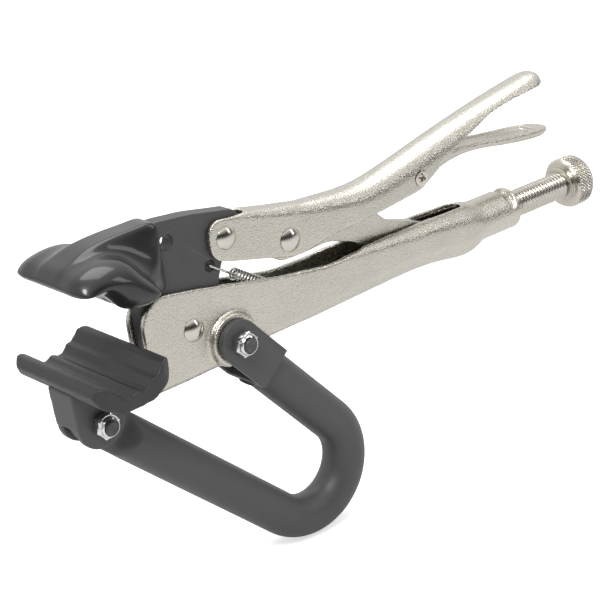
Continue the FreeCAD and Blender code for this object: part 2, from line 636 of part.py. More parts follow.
def arm_weld():
    """The weld bead where the bar meets the bracket's base."""
    start = along(ARM_PIVOT, UPPER_WAY, CLEVIS_LENGTH)
    way = at(UPPER_WAY[0], 0, UPPER_WAY[1])
    bead = Part.makeCone(BAR_DIAMETER / 2 + WELD_SIZE * 0.8, BAR_DIAMETER / 2 + 0.15, WELD_SIZE,
                         at(start[0], 0, start[1]), way)
    bead = bead.cut(Part.makeCylinder(BAR_DIAMETER / 2, WELD_SIZE * 3, at(start[0], 0, start[1]) - way, way))
    limits = [along(ARM_PIVOT, UPPER_WAY, CLEVIS_LENGTH, -CLEVIS_WIDTH / 2 - 0.6),
              along(ARM_PIVOT, UPPER_WAY, CLEVIS_LENGTH + 5, -CLEVIS_WIDTH / 2 - 0.6),
              along(ARM_PIVOT, UPPER_WAY, CLEVIS_LENGTH + 5, CLEVIS_WIDTH / 2 + 0.6),
              along(ARM_PIVOT, UPPER_WAY, CLEVIS_LENGTH, CLEVIS_WIDTH / 2 + 0.6)]
    return bead.common(plate(limits, -20, 20))


# ================================================================ lower pad
PAD_LINE = [(-48.8, -0.9), (-42.0, -5.7), (-31.2, -5.2), (-24.6, 0.4)]
PAD_COVER_OUTLINE = [
    (-51.6, -0.4, 1.6), (-49.6, 2.6, 1.7), (-46.4, 1.6, 2.0), (-41.4, -3.6, 2.0), (-38.6, -3.7, 1.0),
    (-37.4, -2.7, 0.8), (-35.6, -2.8, 0.8), (-34.6, -3.6, 0.8), (-32.4, -3.2, 1.2), (-30.6, -0.8, 0.8),
    (-28.6, -0.5, 1.0), (-25.8, 2.9, 2.0), (-22.6, 3.9, 1.5), (-21.7, 0.6, 1.8), (-23.8, -3.8, 4),
    (-30.6, -7.8, 6),
    (-42.6, -8.4, 6), (-49.4, -4.4, 3),
]


def pad_cover_blank():
    """The ribbed cover as a solid block with rounded ends."""
    half = PAD_LENGTH / 2
    body = plate(PAD_COVER_OUTLINE, -half, half)
    # Seen from above the pad's corners are round.
    left, right = PAD_SPAN
    corner = PAD_CORNER
    flat = [at(left, -half + corner, -20), at(left, half - corner, -20), at(left + corner, half, -20),
            at(right - corner, half, -20), at(right, half - corner, -20), at(right, -half + corner, -20),
            at(right - corner, -half, -20), at(left + corner, -half, -20)]
    edges = []
    for index in range(0, 8, 2):
        edges.append(Part.LineSegment(flat[index], flat[index + 1]).toShape())
        centre_x = left + corner if index in (0, 6) else right - corner
        centre_y = half - corner if index in (0, 2) else -half + corner
        first = flat[index + 1]
        second = flat[(index + 2) % 8]
        middle = (first + second) * 0.5 - at(centre_x, centre_y, -20)
        middle.normalize()
        middle = at(centre_x, centre_y, -20) + middle * corner
        edges.append(Part.Arc(first, middle, second).toShape())
    prism = Part.Face(Part.Wire(edges)).extrude(at(0, 0, 60))
    return body.common(prism)


def pad_bracket():
    """The bent steel pad plate with its two ears and front web."""
    half = PAD_LENGTH / 2 - BRACKET_MARGIN
    corners = [corner + (0.8,) for corner in strip(PAD_LINE, PAD_SHEET)]
    body = plate(corners, -half, half)
    x, z = PAD_PIVOT
    ear = [(-50.0, -3.4, 1.0), (x - EAR_RADIUS, z - EAR_RADIUS, EAR_RADIUS),
           (x + EAR_RADIUS, z - EAR_RADIUS, EAR_RADIUS), (-31.0, -5.2), (-42.0, -5.7)]
    for low, high in both_sides(EAR_INNER, EAR_OUTER):
        body = body.fuse(plate(ear, low, high))
    inner = x - EAR_RADIUS + 0.4
    front = [(-50.0, -3.4, 1.0), (inner - 1.3, z), (inner, z), (inner, z + 6.0), (-46.6, -4.4)]
    body = body.fuse(plate(front, -EAR_OUTER, EAR_OUTER))
    # Leave the ears' gap free around the bar's flattened end.
    body = body.cut(rod_y(PAD_PIVOT, BAR_DIAMETER / 2 + 0.3, -EAR_INNER, EAR_INNER))
    return body.cut(rod_y(PAD_PIVOT, BOLT_RADIUS, -30, 30)).removeSplitter()


# ================================================================ spring
def spring_geometry():
    span_x = SPRING_END[0] - SPRING_HOLE[0]
    span_z = SPRING_END[1] - SPRING_HOLE[1]
    length = math.hypot(span_x, span_z)
    return (span_x / length, span_z / length), length


def wire_run(points, radius):
    """A round wire through the points, with a ball at each bend."""
    body = None
    for first, second in zip(points, points[1:]):
        way = second - first
        run = Part.makeCylinder(radius, way.Length, first, way)
        body = run if body is None else body.fuse(run)
        body = body.fuse(Part.makeSphere(radius, second))
    return body


def jaw_spring():
    """The return spring as a tube of its coil's size, with a wire hook at each end."""
    way, length = spring_geometry()
    axis = at(way[0], 0, way[1])
    coil_start = at(SPRING_HOLE[0], 0, SPRING_HOLE[1]) + axis * SPRING_COIL_START
    coil_end = at(SPRING_HOLE[0], 0, SPRING_HOLE[1]) + axis * SPRING_COIL_END
    outer = SPRING_DIAMETER / 2
    wire = SPRING_WIRE / 2
    coil = Part.makeCylinder(outer, SPRING_COIL_END - SPRING_COIL_START, coil_start, axis)
    core = Part.makeCylinder(outer - SPRING_WIRE, SPRING_COIL_END - SPRING_COIL_START, coil_start, axis)
    coil = coil.cut(core)
    front = wire_run([
        coil_start + axis * wire + at(0, -outer + wire, 0),
        at(SPRING_HOLE[0], 0, SPRING_HOLE[1]) + axis * HOOK_BEND + at(0, -outer + wire, 0),
    ], wire)
    rear = wire_run([
        coil_end - axis * wire + at(0, -outer + wire, 0),
        at(SPRING_END[0], -outer + wire, SPRING_END[1]),
        at(SPRING_END[0], outer - wire, SPRING_END[1]),
    ], wire)
    side = JAW_THICKNESS / 2 + 0.1 + wire
    hook = wire_run([
        at(SPRING_HOLE[0], 0, SPRING_HOLE[1]) + axis * HOOK_BEND + at(0, -outer + wire, 0),
        at(SPRING_HOLE[0], -side, SPRING_HOLE[1]) + axis * HOOK_EDGE,
        at(SPRING_HOLE[0], -side, SPRING_HOLE[1]),
        at(SPRING_HOLE[0], side, SPRING_HOLE[1]),
    ], wire)
    return coil.fuse(front).fuse(hook).fuse(rear).removeSplitter()


# ================================================================ assembly
def build():
    nodes = {}
    nodes["fixed_handle"] = fixed_handle()
    nodes["spring_tab"] = spring_tab(nodes["fixed_handle"])
    nodes["main_rivet"] = rivet((0, 0), CHEEK_OUTER, RIVET_SHANK, RIVET_HEAD, RIVET_DOME)
    nodes["jaw_plate"] = jaw_plate()
    nodes["jaw_wings"] = jaw_wings()
    nodes["jaw_coating"] = jaw_coating(nodes["jaw_plate"], nodes["jaw_wings"])
    nodes["lever_handle"] = lever_handle()
    nodes["lever_rivet"] = rivet(LEVER_PIVOT, CHEEK_OUTER, RIVET_SHANK, RIVET_HEAD, RIVET_DOME)
    nodes["link_rivet"] = rivet(LINK_PIVOT, CHEEK_OUTER + 0.1, RIVET_SHANK, RIVET_HEAD + 0.2, RIVET_DOME)
    nodes["toggle_link"] = toggle_link()
    nodes["release_lever"] = release_lever()
    nodes["release_pin"] = release_pin()
    nodes["adjusting_screw"] = adjusting_screw()
    nodes["adjusting_knob"] = adjusting_knob()
    nodes["arm_clevis"] = arm_clevis()
    nodes["arm_bar"] = arm_bar()
    nodes["arm_weld"] = arm_weld()
    nodes["arm_bolt"], nodes["arm_nut"] = bolt_and_nut(ARM_PIVOT, CLEVIS_OUTER)
    nodes["pad_bracket"] = pad_bracket()
    nodes["pad_cover"] = pad_cover_blank().cut(nodes["pad_bracket"])
    nodes["pad_bolt"], nodes["pad_nut"] = bolt_and_nut(PAD_PIVOT, EAR_OUTER)
    nodes["jaw_spring"] = jaw_spring()
    return nodes


def bounds(shapes):
    """The lowest and highest corner of all the shapes, from fine meshes."""
    low = [math.inf] * 3
    high = [-math.inf] * 3
    for shape in shapes:
        for point in shape.tessellate(0.05)[0]:
            for index, value in enumerate((point.x, point.y, point.z)):
                low[index] = min(low[index], value)
                high[index] = max(high[index], value)
    return low, high


def main():
    os.makedirs("parts", exist_ok=True)
    nodes = build()
    low, high = bounds(nodes.values())
    shift = at(-(low[0] + high[0]) / 2, -(low[1] + high[1]) / 2, -low[2])
    for name, shape in nodes.items():
        shape.translate(shift)
        shape.exportStep(f"parts/{name}.step")
        solids = len(shape.Solids)
        print(f"{name}: solids {solids}, volume {shape.Volume:.1f}, valid {shape.isValid()}")
    print("main pivot at", round(shift.x, 4), round(shift.y, 4), round(shift.z, 4))
    print("size", [round(h - l, 3) for l, h in zip(low, high)])


main()
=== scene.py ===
"""Locking pliers with a swivelling arm: every visible piece, its finish and the studio.

Lengths inside the classes are in millimetres about the main pivot, where +X runs along
the adjusting screw, +Y along the pivots and +Z to the movable handle. The function
row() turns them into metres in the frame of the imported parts.
"""
import json
import logging
import math
from dataclasses import dataclass
from enum import Enum
from typing import Optional, Sequence

import bmesh
import bpy
from mathutils import Matrix, Vector


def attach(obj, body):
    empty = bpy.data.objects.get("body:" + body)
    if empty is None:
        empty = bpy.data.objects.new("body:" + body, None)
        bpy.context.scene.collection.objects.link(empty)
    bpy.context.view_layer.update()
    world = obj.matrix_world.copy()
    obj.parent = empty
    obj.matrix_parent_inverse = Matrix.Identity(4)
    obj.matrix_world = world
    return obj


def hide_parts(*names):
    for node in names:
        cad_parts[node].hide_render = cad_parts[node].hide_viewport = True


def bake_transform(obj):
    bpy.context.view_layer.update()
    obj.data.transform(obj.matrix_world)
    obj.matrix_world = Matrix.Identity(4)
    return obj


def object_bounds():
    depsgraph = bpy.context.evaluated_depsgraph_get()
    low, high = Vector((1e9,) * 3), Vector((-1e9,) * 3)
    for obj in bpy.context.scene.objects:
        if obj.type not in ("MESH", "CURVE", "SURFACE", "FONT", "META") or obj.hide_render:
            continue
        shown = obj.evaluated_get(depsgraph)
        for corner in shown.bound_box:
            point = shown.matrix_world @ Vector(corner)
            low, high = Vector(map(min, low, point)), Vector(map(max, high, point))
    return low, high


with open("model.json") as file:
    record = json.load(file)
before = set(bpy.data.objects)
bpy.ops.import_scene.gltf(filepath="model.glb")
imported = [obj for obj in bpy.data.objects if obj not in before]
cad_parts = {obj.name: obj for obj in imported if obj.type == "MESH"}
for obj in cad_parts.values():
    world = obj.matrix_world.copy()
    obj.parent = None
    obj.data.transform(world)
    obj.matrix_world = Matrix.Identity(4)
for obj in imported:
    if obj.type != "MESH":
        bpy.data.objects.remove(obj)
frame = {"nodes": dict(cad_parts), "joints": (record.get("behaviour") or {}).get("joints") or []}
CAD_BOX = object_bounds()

LOG = logging.getLogger("locking_pliers")
MM = 0.001

Point2 = tuple[float, float]
Colour = tuple[float, float, float]


# ---------------------------------------------------------------- names
class Slot(Enum):
    """The material slots of the part."""

    NICKEL = "nickel"
    RIVET = "bright_rivet"
    JAW = "jaw_black"
    DIP = "dip_coat"
    ARM = "arm_black"
    RUBBER = "pad_rubber"
    ZINC = "zinc"
    SCREW = "screw_steel"
    SPRING = "spring_wire"


class Body(Enum):
    """The bodies that move on their own."""

    HANDLE = "handle"
    JAW = "jaw"
    LEVER = "lever"
    LINK = "link"
    RELEASE = "release"
    SCREW = "screw"
    KNOB = "knob"
    ARM = "arm"
    PAD = "pad"


# ---------------------------------------------------------------- places
def joint_place(name: str) -> Vector:
    """Finds where a joint turns.

    Args:
        name: The joint's name in the part's record.

    Returns:
        Its place at rest, in metres.
    """
    for joint in frame["joints"]:
        if joint["name"] == name:
            return Vector(joint["pos_m"])
    raise KeyError(name)


MAIN_PIVOT = joint_place("jaw_pivot")


def row(x: float, y: float, z: float) -> Vector:
    """Turns a place about the main pivot, in millimetres, into metres in the part's frame."""
    return MAIN_PIVOT + Vector((x, y, z)) * MM


def pivot_point(name: str) -> Point2:
    """The (x, z) of a joint about the main pivot, in millimetres."""
    place = (joint_place(name) - MAIN_PIVOT) / MM
    return place.x, place.z


# ---------------------------------------------------------------- shader groups
def new_group(name: str, inputs: dict[str, object], outputs: dict[str, str]) -> bpy.types.NodeTree:
    """Makes an empty shader node group with named sockets.

    Args:
        name: The group's name.
        inputs: Socket names with their first values, a number or a colour.
        outputs: Socket names with their socket types.

    Returns:
        The group, holding only its input and output nodes.
    """
    group = bpy.data.node_groups.new(name, "ShaderNodeTree")
    for label, value in inputs.items():
        kind = "NodeSocketFloat" if isinstance(value, float) else "NodeSocketColor"
        socket = group.interface.new_socket(name=label, in_out="INPUT", socket_type=kind)
        socket.default_value = value
    for label, kind in outputs.items():
        group.interface.new_socket(name=label, in_out="OUTPUT", socket_type=kind)
    group.nodes.new("NodeGroupInput").name = "in"
    group.nodes.new("NodeGroupOutput").name = "out"
    return group


class Effects:
    """The surface effects that the finishes share, each a node group built once."""

    def __init__(self) -> None:
        """Builds the three groups."""
        self.grain = self.build_grain()
        self.mottle = self.build_mottle()
        self.wear = self.build_wear()

    @staticmethod
    def scaled_place(group: bpy.types.NodeTree, size_socket: str) -> bpy.types.NodeSocket:
        """Puts nodes in the group that divide the object's coordinates by a size input.

        Args:
            group: The group to add to.
            size_socket: The input that holds the size, in metres.

        Returns:
            The output that carries the scaled place.
        """
        place = group.nodes.new("ShaderNodeTexCoord")
        inverse = group.nodes.new("ShaderNodeMath")
        inverse.operation = "DIVIDE"
        inverse.inputs[0].default_value = 1.0
        scale = group.nodes.new("ShaderNodeVectorMath")
        scale.operation = "SCALE"
        group.links.new(group.nodes["in"].outputs[size_socket], inverse.inputs[1])
        group.links.new(place.outputs["Object"], scale.inputs[0])
        group.links.new(inverse.outputs[0], scale.inputs["Scale"])
        return scale.outputs["Vector"]

    def build_grain(self) -> bpy.types.NodeTree:
        """Builds the fine grain: a height for bump and a speckle for roughness."""
        group = new_group("surface_grain", {"Size": 0.0004, "Sharpness": 0.6},
                          {"Height": "NodeSocketFloat", "Speckle": "NodeSocketFloat"})
        place = self.scaled_place(group, "Size")
        noise = group.nodes.new("ShaderNodeTexNoise")
        noise.inputs["Scale"].default_value = 1.0
        noise.inputs["Detail"].default_value = 3.0
        cells = group.nodes.new("ShaderNodeTexVoronoi")
        cells.inputs["Scale"].default_value = 0.8
        blend = group.nodes.new("ShaderNodeMix")
        blend.inputs["Factor"].default_value = 0.4
        group.links.new(place, noise.inputs["Vector"])
        group.links.new(place, cells.inputs["Vector"])
        group.links.new(group.nodes["in"].outputs["Sharpness"], noise.inputs["Roughness"])
        group.links.new(noise.outputs["Fac"], blend.inputs["A"])
        group.links.new(cells.outputs["Distance"], blend.inputs["B"])
        group.links.new(blend.outputs["Result"], group.nodes["out"].inputs["Height"])
        group.links.new(noise.outputs["Fac"], group.nodes["out"].inputs["Speckle"])
        return group

    def build_mottle(self) -> bpy.types.NodeTree:
        """Builds the slow change of tone over a surface."""
        group = new_group("tone_mottle", {"Colour": (0.5, 0.5, 0.5, 1.0), "Amount": 0.1, "Size": 0.02},
                          {"Colour": "NodeSocketColor", "Tone": "NodeSocketFloat"})
        place = self.scaled_place(group, "Size")
        noise = group.nodes.new("ShaderNodeTexNoise")
        noise.inputs["Scale"].default_value = 1.0
        noise.inputs["Detail"].default_value = 4.0
        centre = group.nodes.new("ShaderNodeMath")
        centre.operation = "SUBTRACT"
        centre.inputs[1].default_value = 0.5
        factor = group.nodes.new("ShaderNodeMath")
        factor.operation = "MULTIPLY_ADD"
        factor.inputs[2].default_value = 1.0
        tint = group.nodes.new("ShaderNodeVectorMath")
        tint.operation = "SCALE"
        group.links.new(place, noise.inputs["Vector"])
        group.links.new(noise.outputs["Fac"], centre.inputs[0])
        group.links.new(centre.outputs[0], factor.inputs[0])
        group.links.new(group.nodes["in"].outputs["Amount"], factor.inputs[1])
        group.links.new(group.nodes["in"].outputs["Colour"], tint.inputs[0])
        group.links.new(factor.outputs[0], tint.inputs["Scale"])
        group.links.new(tint.outputs["Vector"], group.nodes["out"].inputs["Colour"])
        group.links.new(noise.outputs["Fac"], group.nodes["out"].inputs["Tone"])
        return group

    def build_wear(self) -> bpy.types.NodeTree:
        """Builds the rubbed look of outward edges, broken up by noise."""
        group = new_group("edge_wear", {"Amount": 0.5, "Start": 0.53, "End": 0.6},
                          {"Mask": "NodeSocketFloat"})
        shape = group.nodes.new("ShaderNodeNewGeometry")
        edge = group.nodes.new("ShaderNodeMapRange")
        edge.interpolation_type = "SMOOTHSTEP"
        place = group.nodes.new("ShaderNodeTexCoord")
        noise = group.nodes.new("ShaderNodeTexNoise")
        noise.inputs["Scale"].default_value = 900.0
        noise.inputs["Detail"].default_value = 3.0
        broken = group.nodes.new("ShaderNodeMath")
        broken.operation = "MULTIPLY"
        amount = group.nodes.new("ShaderNodeMath")
        amount.operation = "MULTIPLY"
        amount.use_clamp = True
        group.links.new(shape.outputs["Pointiness"], edge.inputs["Value"])
        group.links.new(group.nodes["in"].outputs["Start"], edge.inputs["From Min"])
        group.links.new(group.nodes["in"].outputs["End"], edge.inputs["From Max"])
        group.links.new(place.outputs["Object"], noise.inputs["Vector"])
        group.links.new(edge.outputs["Result"], broken.inputs[0])
        group.links.new(noise.outputs["Fac"], broken.inputs[1])
        group.links.new(broken.outputs[0], amount.inputs[0])
        group.links.new(group.nodes["in"].outputs["Amount"], amount.inputs[1])
        group.links.new(amount.outputs[0], group.nodes["out"].inputs["Mask"])
        return group


# ---------------------------------------------------------------- finishes
@dataclass(frozen=True)
class Finish:
    """One surface finish. Colours are linear, sizes are in millimetres."""

    slot: Slot
    colour: Colour
    metallic: float
    roughness: float
    speckle: float = 0.1
    grain_size: float = 0.4
    grain_depth: float = 0.02
    grain_strength: float = 0.3
    mottle: float = 0.1
    mottle_size: float = 15.0
    wear_colour: Colour = (0.3, 0.3, 0.3)
    wear: float = 0.3
    coat: float = 0.0
    coat_roughness: float = 0.05
    specular: float = 0.5

    def material(self, effects: Effects) -> bpy.types.Material:
        """Builds the material.

        Args:
            effects: The shared node groups.

        Returns:
            A material with its own nodes, named after its slot.
        """
        made = bpy.data.materials.new(self.slot.value)
        made.use_nodes = True
        tree = made.node_tree
        shader = tree.nodes["Principled BSDF"]
        shader.inputs["Metallic"].default_value = self.metallic
        shader.inputs["Specular IOR Level"].default_value = self.specular
        shader.inputs["Coat Weight"].default_value = self.coat
        shader.inputs["Coat Roughness"].default_value = self.coat_roughness
        mottle = self.placed(tree, effects.mottle)
        mottle.inputs["Colour"].default_value = (*self.colour, 1.0)
        mottle.inputs["Amount"].default_value = self.mottle
        mottle.inputs["Size"].default_value = self.mottle_size * MM
        grain = self.placed(tree, effects.grain)
        grain.inputs["Size"].default_value = self.grain_size * MM
        wear = self.placed(tree, effects.wear)
        wear.inputs["Amount"].default_value = self.wear
        worn = tree.nodes.new("ShaderNodeMix")
        worn.data_type = "RGBA"
        worn.inputs["B"].default_value = (*self.wear_colour, 1.0)
        rough = tree.nodes.new("ShaderNodeMapRange")
        rough.inputs["From Min"].default_value = 0.3
        rough.inputs["From Max"].default_value = 0.7
        rough.inputs["To Min"].default_value = self.roughness - self.speckle / 2
        rough.inputs["To Max"].default_value = self.roughness + self.speckle / 2
        bump = tree.nodes.new("ShaderNodeBump")
        bump.inputs["Strength"].default_value = self.grain_strength
        bump.inputs["Distance"].default_value = self.grain_depth * MM
        tree.links.new(mottle.outputs["Colour"], worn.inputs["A"])
        tree.links.new(wear.outputs["Mask"], worn.inputs["Factor"])
        tree.links.new(worn.outputs["Result"], shader.inputs["Base Color"])
        tree.links.new(grain.outputs["Speckle"], rough.inputs["Value"])
        tree.links.new(rough.outputs["Result"], shader.inputs["Roughness"])
        tree.links.new(grain.outputs["Height"], bump.inputs["Height"])
        tree.links.new(bump.outputs["Normal"], shader.inputs["Normal"])
        return made

    @staticmethod
    def placed(tree: bpy.types.NodeTree, group: bpy.types.NodeTree) -> bpy.types.Node:
        """Puts a shared group in a material and returns its node."""
        node = tree.nodes.new("ShaderNodeGroup")
        node.node_tree = group
        return node


FINISHES = (
    Finish(Slot.NICKEL, (0.56, 0.535, 0.475), 1.0, 0.27, speckle=0.2, grain_size=0.5, grain_depth=0.19,
           grain_strength=1.0, mottle=0.16, mottle_size=9.0, wear_colour=(0.8, 0.78, 0.73), wear=0.5),
    Finish(Slot.RIVET, (0.6, 0.57, 0.51), 1.0, 0.2, speckle=0.1, grain_size=0.5, grain_depth=0.02,
           grain_strength=0.3, mottle=0.2, mottle_size=2.0, wear=0.0),
    Finish(Slot.JAW, (0.052, 0.052, 0.053), 0.0, 0.42, speckle=0.12, grain_size=0.5, grain_depth=0.02,
           grain_strength=0.3, mottle=0.25, mottle_size=6.0, wear_colour=(0.16, 0.16, 0.16), wear=0.5),
    Finish(Slot.DIP, (0.011, 0.011, 0.012), 0.0, 0.34, speckle=0.04, grain_size=3.0, grain_depth=0.03,
           grain_strength=0.1, mottle=0.1, mottle_size=14.0, wear_colour=(0.03, 0.03, 0.03), wear=0.2,
           coat=0.45, coat_roughness=0.06, specular=0.4),
    Finish(Slot.ARM, (0.06, 0.061, 0.062), 0.0, 0.46, speckle=0.1, grain_size=0.7, grain_depth=0.02,
           grain_strength=0.3, mottle=0.12, mottle_size=20.0, wear_colour=(0.11, 0.11, 0.11), wear=0.4),
    Finish(Slot.RUBBER, (0.027, 0.027, 0.028), 0.0, 0.48, speckle=0.14, grain_size=0.9, grain_depth=0.05,
           grain_strength=0.4, mottle=0.35, mottle_size=7.0, wear_colour=(0.12, 0.12, 0.12), wear=0.6),
    Finish(Slot.ZINC, (0.68, 0.68, 0.69), 1.0, 0.16, speckle=0.1, grain_size=0.6, grain_depth=0.02,
           grain_strength=0.2, mottle=0.15, mottle_size=3.0, wear=0.0),
    Finish(Slot.SCREW, (0.54, 0.51, 0.45), 1.0, 0.27, speckle=0.12, grain_size=0.4, grain_depth=0.02,
           grain_strength=0.3, mottle=0.25, mottle_size=5.0, wear_colour=(0.85, 0.84, 0.8), wear=0.7),
    Finish(Slot.SPRING, (0.62, 0.61, 0.59), 1.0, 0.22, speckle=0.08, grain_size=0.4, grain_depth=0.01,
           grain_strength=0.2, mottle=0.2, mottle_size=3.0, wear=0.0),
)


class Wardrobe:
    """Makes each finish's material once and dresses pieces with it."""

    def __init__(self) -> None:
        """Builds the materials of all the finishes."""
        effects = Effects()
        self.materials = {finish.slot: finish.material(effects) for finish in FINISHES}

    def paint(self, piece: bpy.types.Object, slot: Slot) -> None:
        """Gives a piece the material of a finish and names its slot."""
        piece.data.materials.clear()
        piece.data.materials.append(self.materials[slot])

    def dress(self, piece: bpy.types.Object, body: Body, slot: Slot, *nodes: str) -> bpy.types.Object:
        """Gives a piece its finish and its body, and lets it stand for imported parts.

        Args:
            piece: The finished piece, in place.
            body: The body that it moves with.
            slot: The finish that it takes.
            nodes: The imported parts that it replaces.

        Returns:
            The same piece.
        """
        self.paint(piece, slot)
        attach(piece, body.value)
        if nodes:
            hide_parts(*nodes)
        LOG.info("%s rides on %s in %s, %d faces", piece.name, body.value, slot.value,
                 len(piece.data.polygons))
        return piece


# ---------------------------------------------------------------- mesh helpers
def new_piece(name: str, vertices: Sequence[Vector], faces: Sequence[Sequence[int]]) -> bpy.types.Object:
    """Makes an object from points in metres and faces, and puts it in the scene."""
    mesh = bpy.data.meshes.new(name)
    mesh.from_pydata([tuple(vertex) for vertex in vertices], [], faces)
    mesh.validate()
    piece = bpy.data.objects.new(name, mesh)
    bpy.context.scene.collection.objects.link(piece)
    return piece


def apply_modifiers(piece: bpy.types.Object) -> bpy.types.Object:
    """Turns a piece's modifiers into its mesh and returns the piece."""
    depsgraph = bpy.context.evaluated_depsgraph_get()
    mesh = bpy.data.meshes.new_from_object(piece.evaluated_get(depsgraph))
    piece.modifiers.clear()
    piece.data = mesh
    return piece


def shade(piece: bpy.types.Object, sharp_degrees: float = 35.0) -> bpy.types.Object:
    """Shades a piece smooth, except across edges sharper than the angle, and returns it."""
    mesh = piece.data
    mesh.polygons.foreach_set("use_smooth", [True] * len(mesh.polygons))
    mesh.set_sharp_from_angle(angle=math.radians(sharp_degrees))
    return piece


def tube_faces(rings: int, around: int, caps: bool = True) -> list[list[int]]:
    """The faces of a skin over rings of points.

    Args:
        rings: How many rings there are.
        around: How many points each ring has.
        caps: Whether the first and the last ring are closed with a face.

    Returns:
        Lists of point numbers, one for each face.
    """
    faces = []
    for ring in range(rings - 1):
        for step in range(around):
            after = (step + 1) % around
            low = ring * around
            high = low + around
            faces.append([low + step, low + after, high + after, high + step])
    if caps:
        faces.append(list(range(around))[::-1])
        faces.append(list(range((rings - 1) * around, rings * around)))
    return faces


def fix_outside(piece: bpy.types.Object) -> bpy.types.Object:
    """Turns a closed piece's faces outwards and returns it."""
    work = bmesh.new()
    work.from_mesh(piece.data)
    bmesh.ops.remove_doubles(work, verts=work.verts, dist=1e-7)
    bmesh.ops.recalc_face_normals(work, faces=work.faces)
    work.to_mesh(piece.data)
    work.free()
    return piece


@dataclass(frozen=True)
class Ring:
    """One ring of a turned piece: a place along the axis and a radius, cut by flats or not."""

    place: float
    radius: float
    flats: Optional[float] = None


def turned(name: str, rings: Sequence[Ring], origin: Vector, axis: Vector, around: int = 72,
           start_degrees: float = 12.0) -> bpy.types.Object:
    """Makes a piece of turned rings about an axis.

    Args:
        name: The piece's name.
        rings: The rings in order, in millimetres. A ring with flats is a hexagon whose
            corners are cut at the ring's radius.
        origin: The axis's zero, in metres.
        axis: The axis's direction.
        around: Points in each ring.
        start_degrees: The angle of a hexagon's first corner.

    Returns:
        The closed piece, shaded.
    """
    axis = axis.normalized()
    side = axis.orthogonal().normalized() if abs(axis.y) < 0.5 else Vector((1.0, 0.0, 0.0))
    other = axis.cross(side)
    points = []
    for ring in rings:
        for step in range(around):
            angle = 2 * math.pi * step / around
            radius = ring.radius
            if ring.flats is not None:
                corner = (angle - math.radians(start_degrees)) % (math.pi / 3) - math.pi / 6
                radius = min(radius, ring.flats / 2 / math.cos(corner))
            outward = side * math.cos(angle) + other * math.sin(angle)
            points.append(origin + (axis * ring.place + outward * radius) * MM)
    return shade(fix_outside(new_piece(name, points, tube_faces(len(rings), around))), 30.0)


def dome(radius: float, height: float, start: float, steps: int = 10) -> list[Ring]:
    """The rings of a spherical dome that rises from start to its top."""
    ball = (radius * radius + height * height) / (2 * height)
    widest = math.asin(radius / ball)
    rings = []
    for step in range(steps + 1):
        angle = widest * (1 - step / steps)
        rings.append(Ring(start + height - ball * (1 - math.cos(angle)), max(ball * math.sin(angle), 0.02)))
    return rings


def mirrored(rings: Sequence[Ring]) -> list[Ring]:
    """The same rings on the other side of zero, so that both halves run in one order."""
    return [Ring(-ring.place, ring.radius, ring.flats) for ring in reversed(rings)]


def wire_along(name: str, path: Sequence[Vector], radius: float, around: int = 10) -> bpy.types.Object:
    """Makes a round wire along a path.

    Args:
        name: The piece's name.
        path: Points in metres.
        radius: The wire's radius in millimetres.
        around: Points in each ring.

    Returns:
        The wire, closed at both ends.
    """
    points = []
    side = None
    for index, here in enumerate(path):
        way = (path[min(index + 1, len(path) - 1)] - path[max(index - 1, 0)]).normalized()
        side = way.orthogonal().normalized() if side is None else (side - way * side.dot(way)).normalized()
        other = way.cross(side)
        for step in range(around):
            angle = 2 * math.pi * step / around
            points.append(here + (side * math.cos(angle) + other * math.sin(angle)) * radius * MM)
    return shade(fix_outside(new_piece(name, points, tube_faces(len(path), around))), 50.0)


def smooth_path(corners: Sequence[Vector], steps: int, closed: bool = False) -> list[Vector]:
    """Runs a centripetal spline through points.

    Args:
        corners: The points that the line passes.
        steps: Parts that each span is divided into.
        closed: Whether the line returns to its start.

    Returns:
        The points of the smooth line.
    """
    count = len(corners)
    spans = count if closed else count - 1

    def corner(index: int) -> Vector:
        """The corner at a place in the order, past either end as well."""
        if closed:
            return corners[index % count]
        if index < 0:
            return corners[0] * 2 - corners[1]
        if index >= count:
            return corners[-1] * 2 - corners[-2]
        return corners[index]

    line = []
    for span in range(spans):
        four = [corner(span + offset) for offset in (-1, 0, 1, 2)]
        knots = [0.0]
        for first, second in zip(four, four[1:]):
            knots.append(knots[-1] + max((second - first).length, 1e-9) ** 0.5)
        for step in range(steps):
            at = knots[1] + (knots[2] - knots[1]) * step / steps
            level = list(four)
            for depth in (1, 2, 3):
                level = blend_level(level, knots, depth, at)
            line.append(level[0])
    if not closed:
        line.append(corners[-1].copy())
    return line


def blend_level(level: Sequence[Vector], knots: Sequence[float], depth: int, at: float) -> list[Vector]:
    """One level of the spline's pyramid of blends between neighbouring points."""
    blended = []
    for index in range(len(level) - 1):
        if depth == 1:
            low, high = knots[index], knots[index + 1]
        elif depth == 2:
            low, high = knots[index], knots[index + 2]
        else:
            low, high = knots[1], knots[2]
        share = (at - low) / (high - low)
        blended.append(level[index] * (1 - share) + level[index + 1] * share)
    return blended


def ease(value: float) -> float:
    """A smooth step from 0 to 1."""
    value = min(max(value, 0.0), 1.0)
    return value * value * (3 - 2 * value)


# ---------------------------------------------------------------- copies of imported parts
def clean_copy(node: str, name: str) -> bpy.types.Object:
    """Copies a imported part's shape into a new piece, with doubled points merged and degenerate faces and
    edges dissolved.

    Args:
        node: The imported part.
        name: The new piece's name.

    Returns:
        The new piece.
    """
    work = bmesh.new()
    work.from_mesh(frame["nodes"][node].data)
    bmesh.ops.remove_doubles(work, verts=work.verts, dist=2e-6)
    bmesh.ops.dissolve_degenerate(work, edges=work.edges, dist=1e-6)
    bmesh.ops.recalc_face_normals(work, faces=work.faces)
    points = [vertex.co.copy() for vertex in work.verts]
    work.verts.index_update()
    faces = [[vertex.index for vertex in face.verts] for face in work.faces]
    work.free()
    return new_piece(name, points, faces)


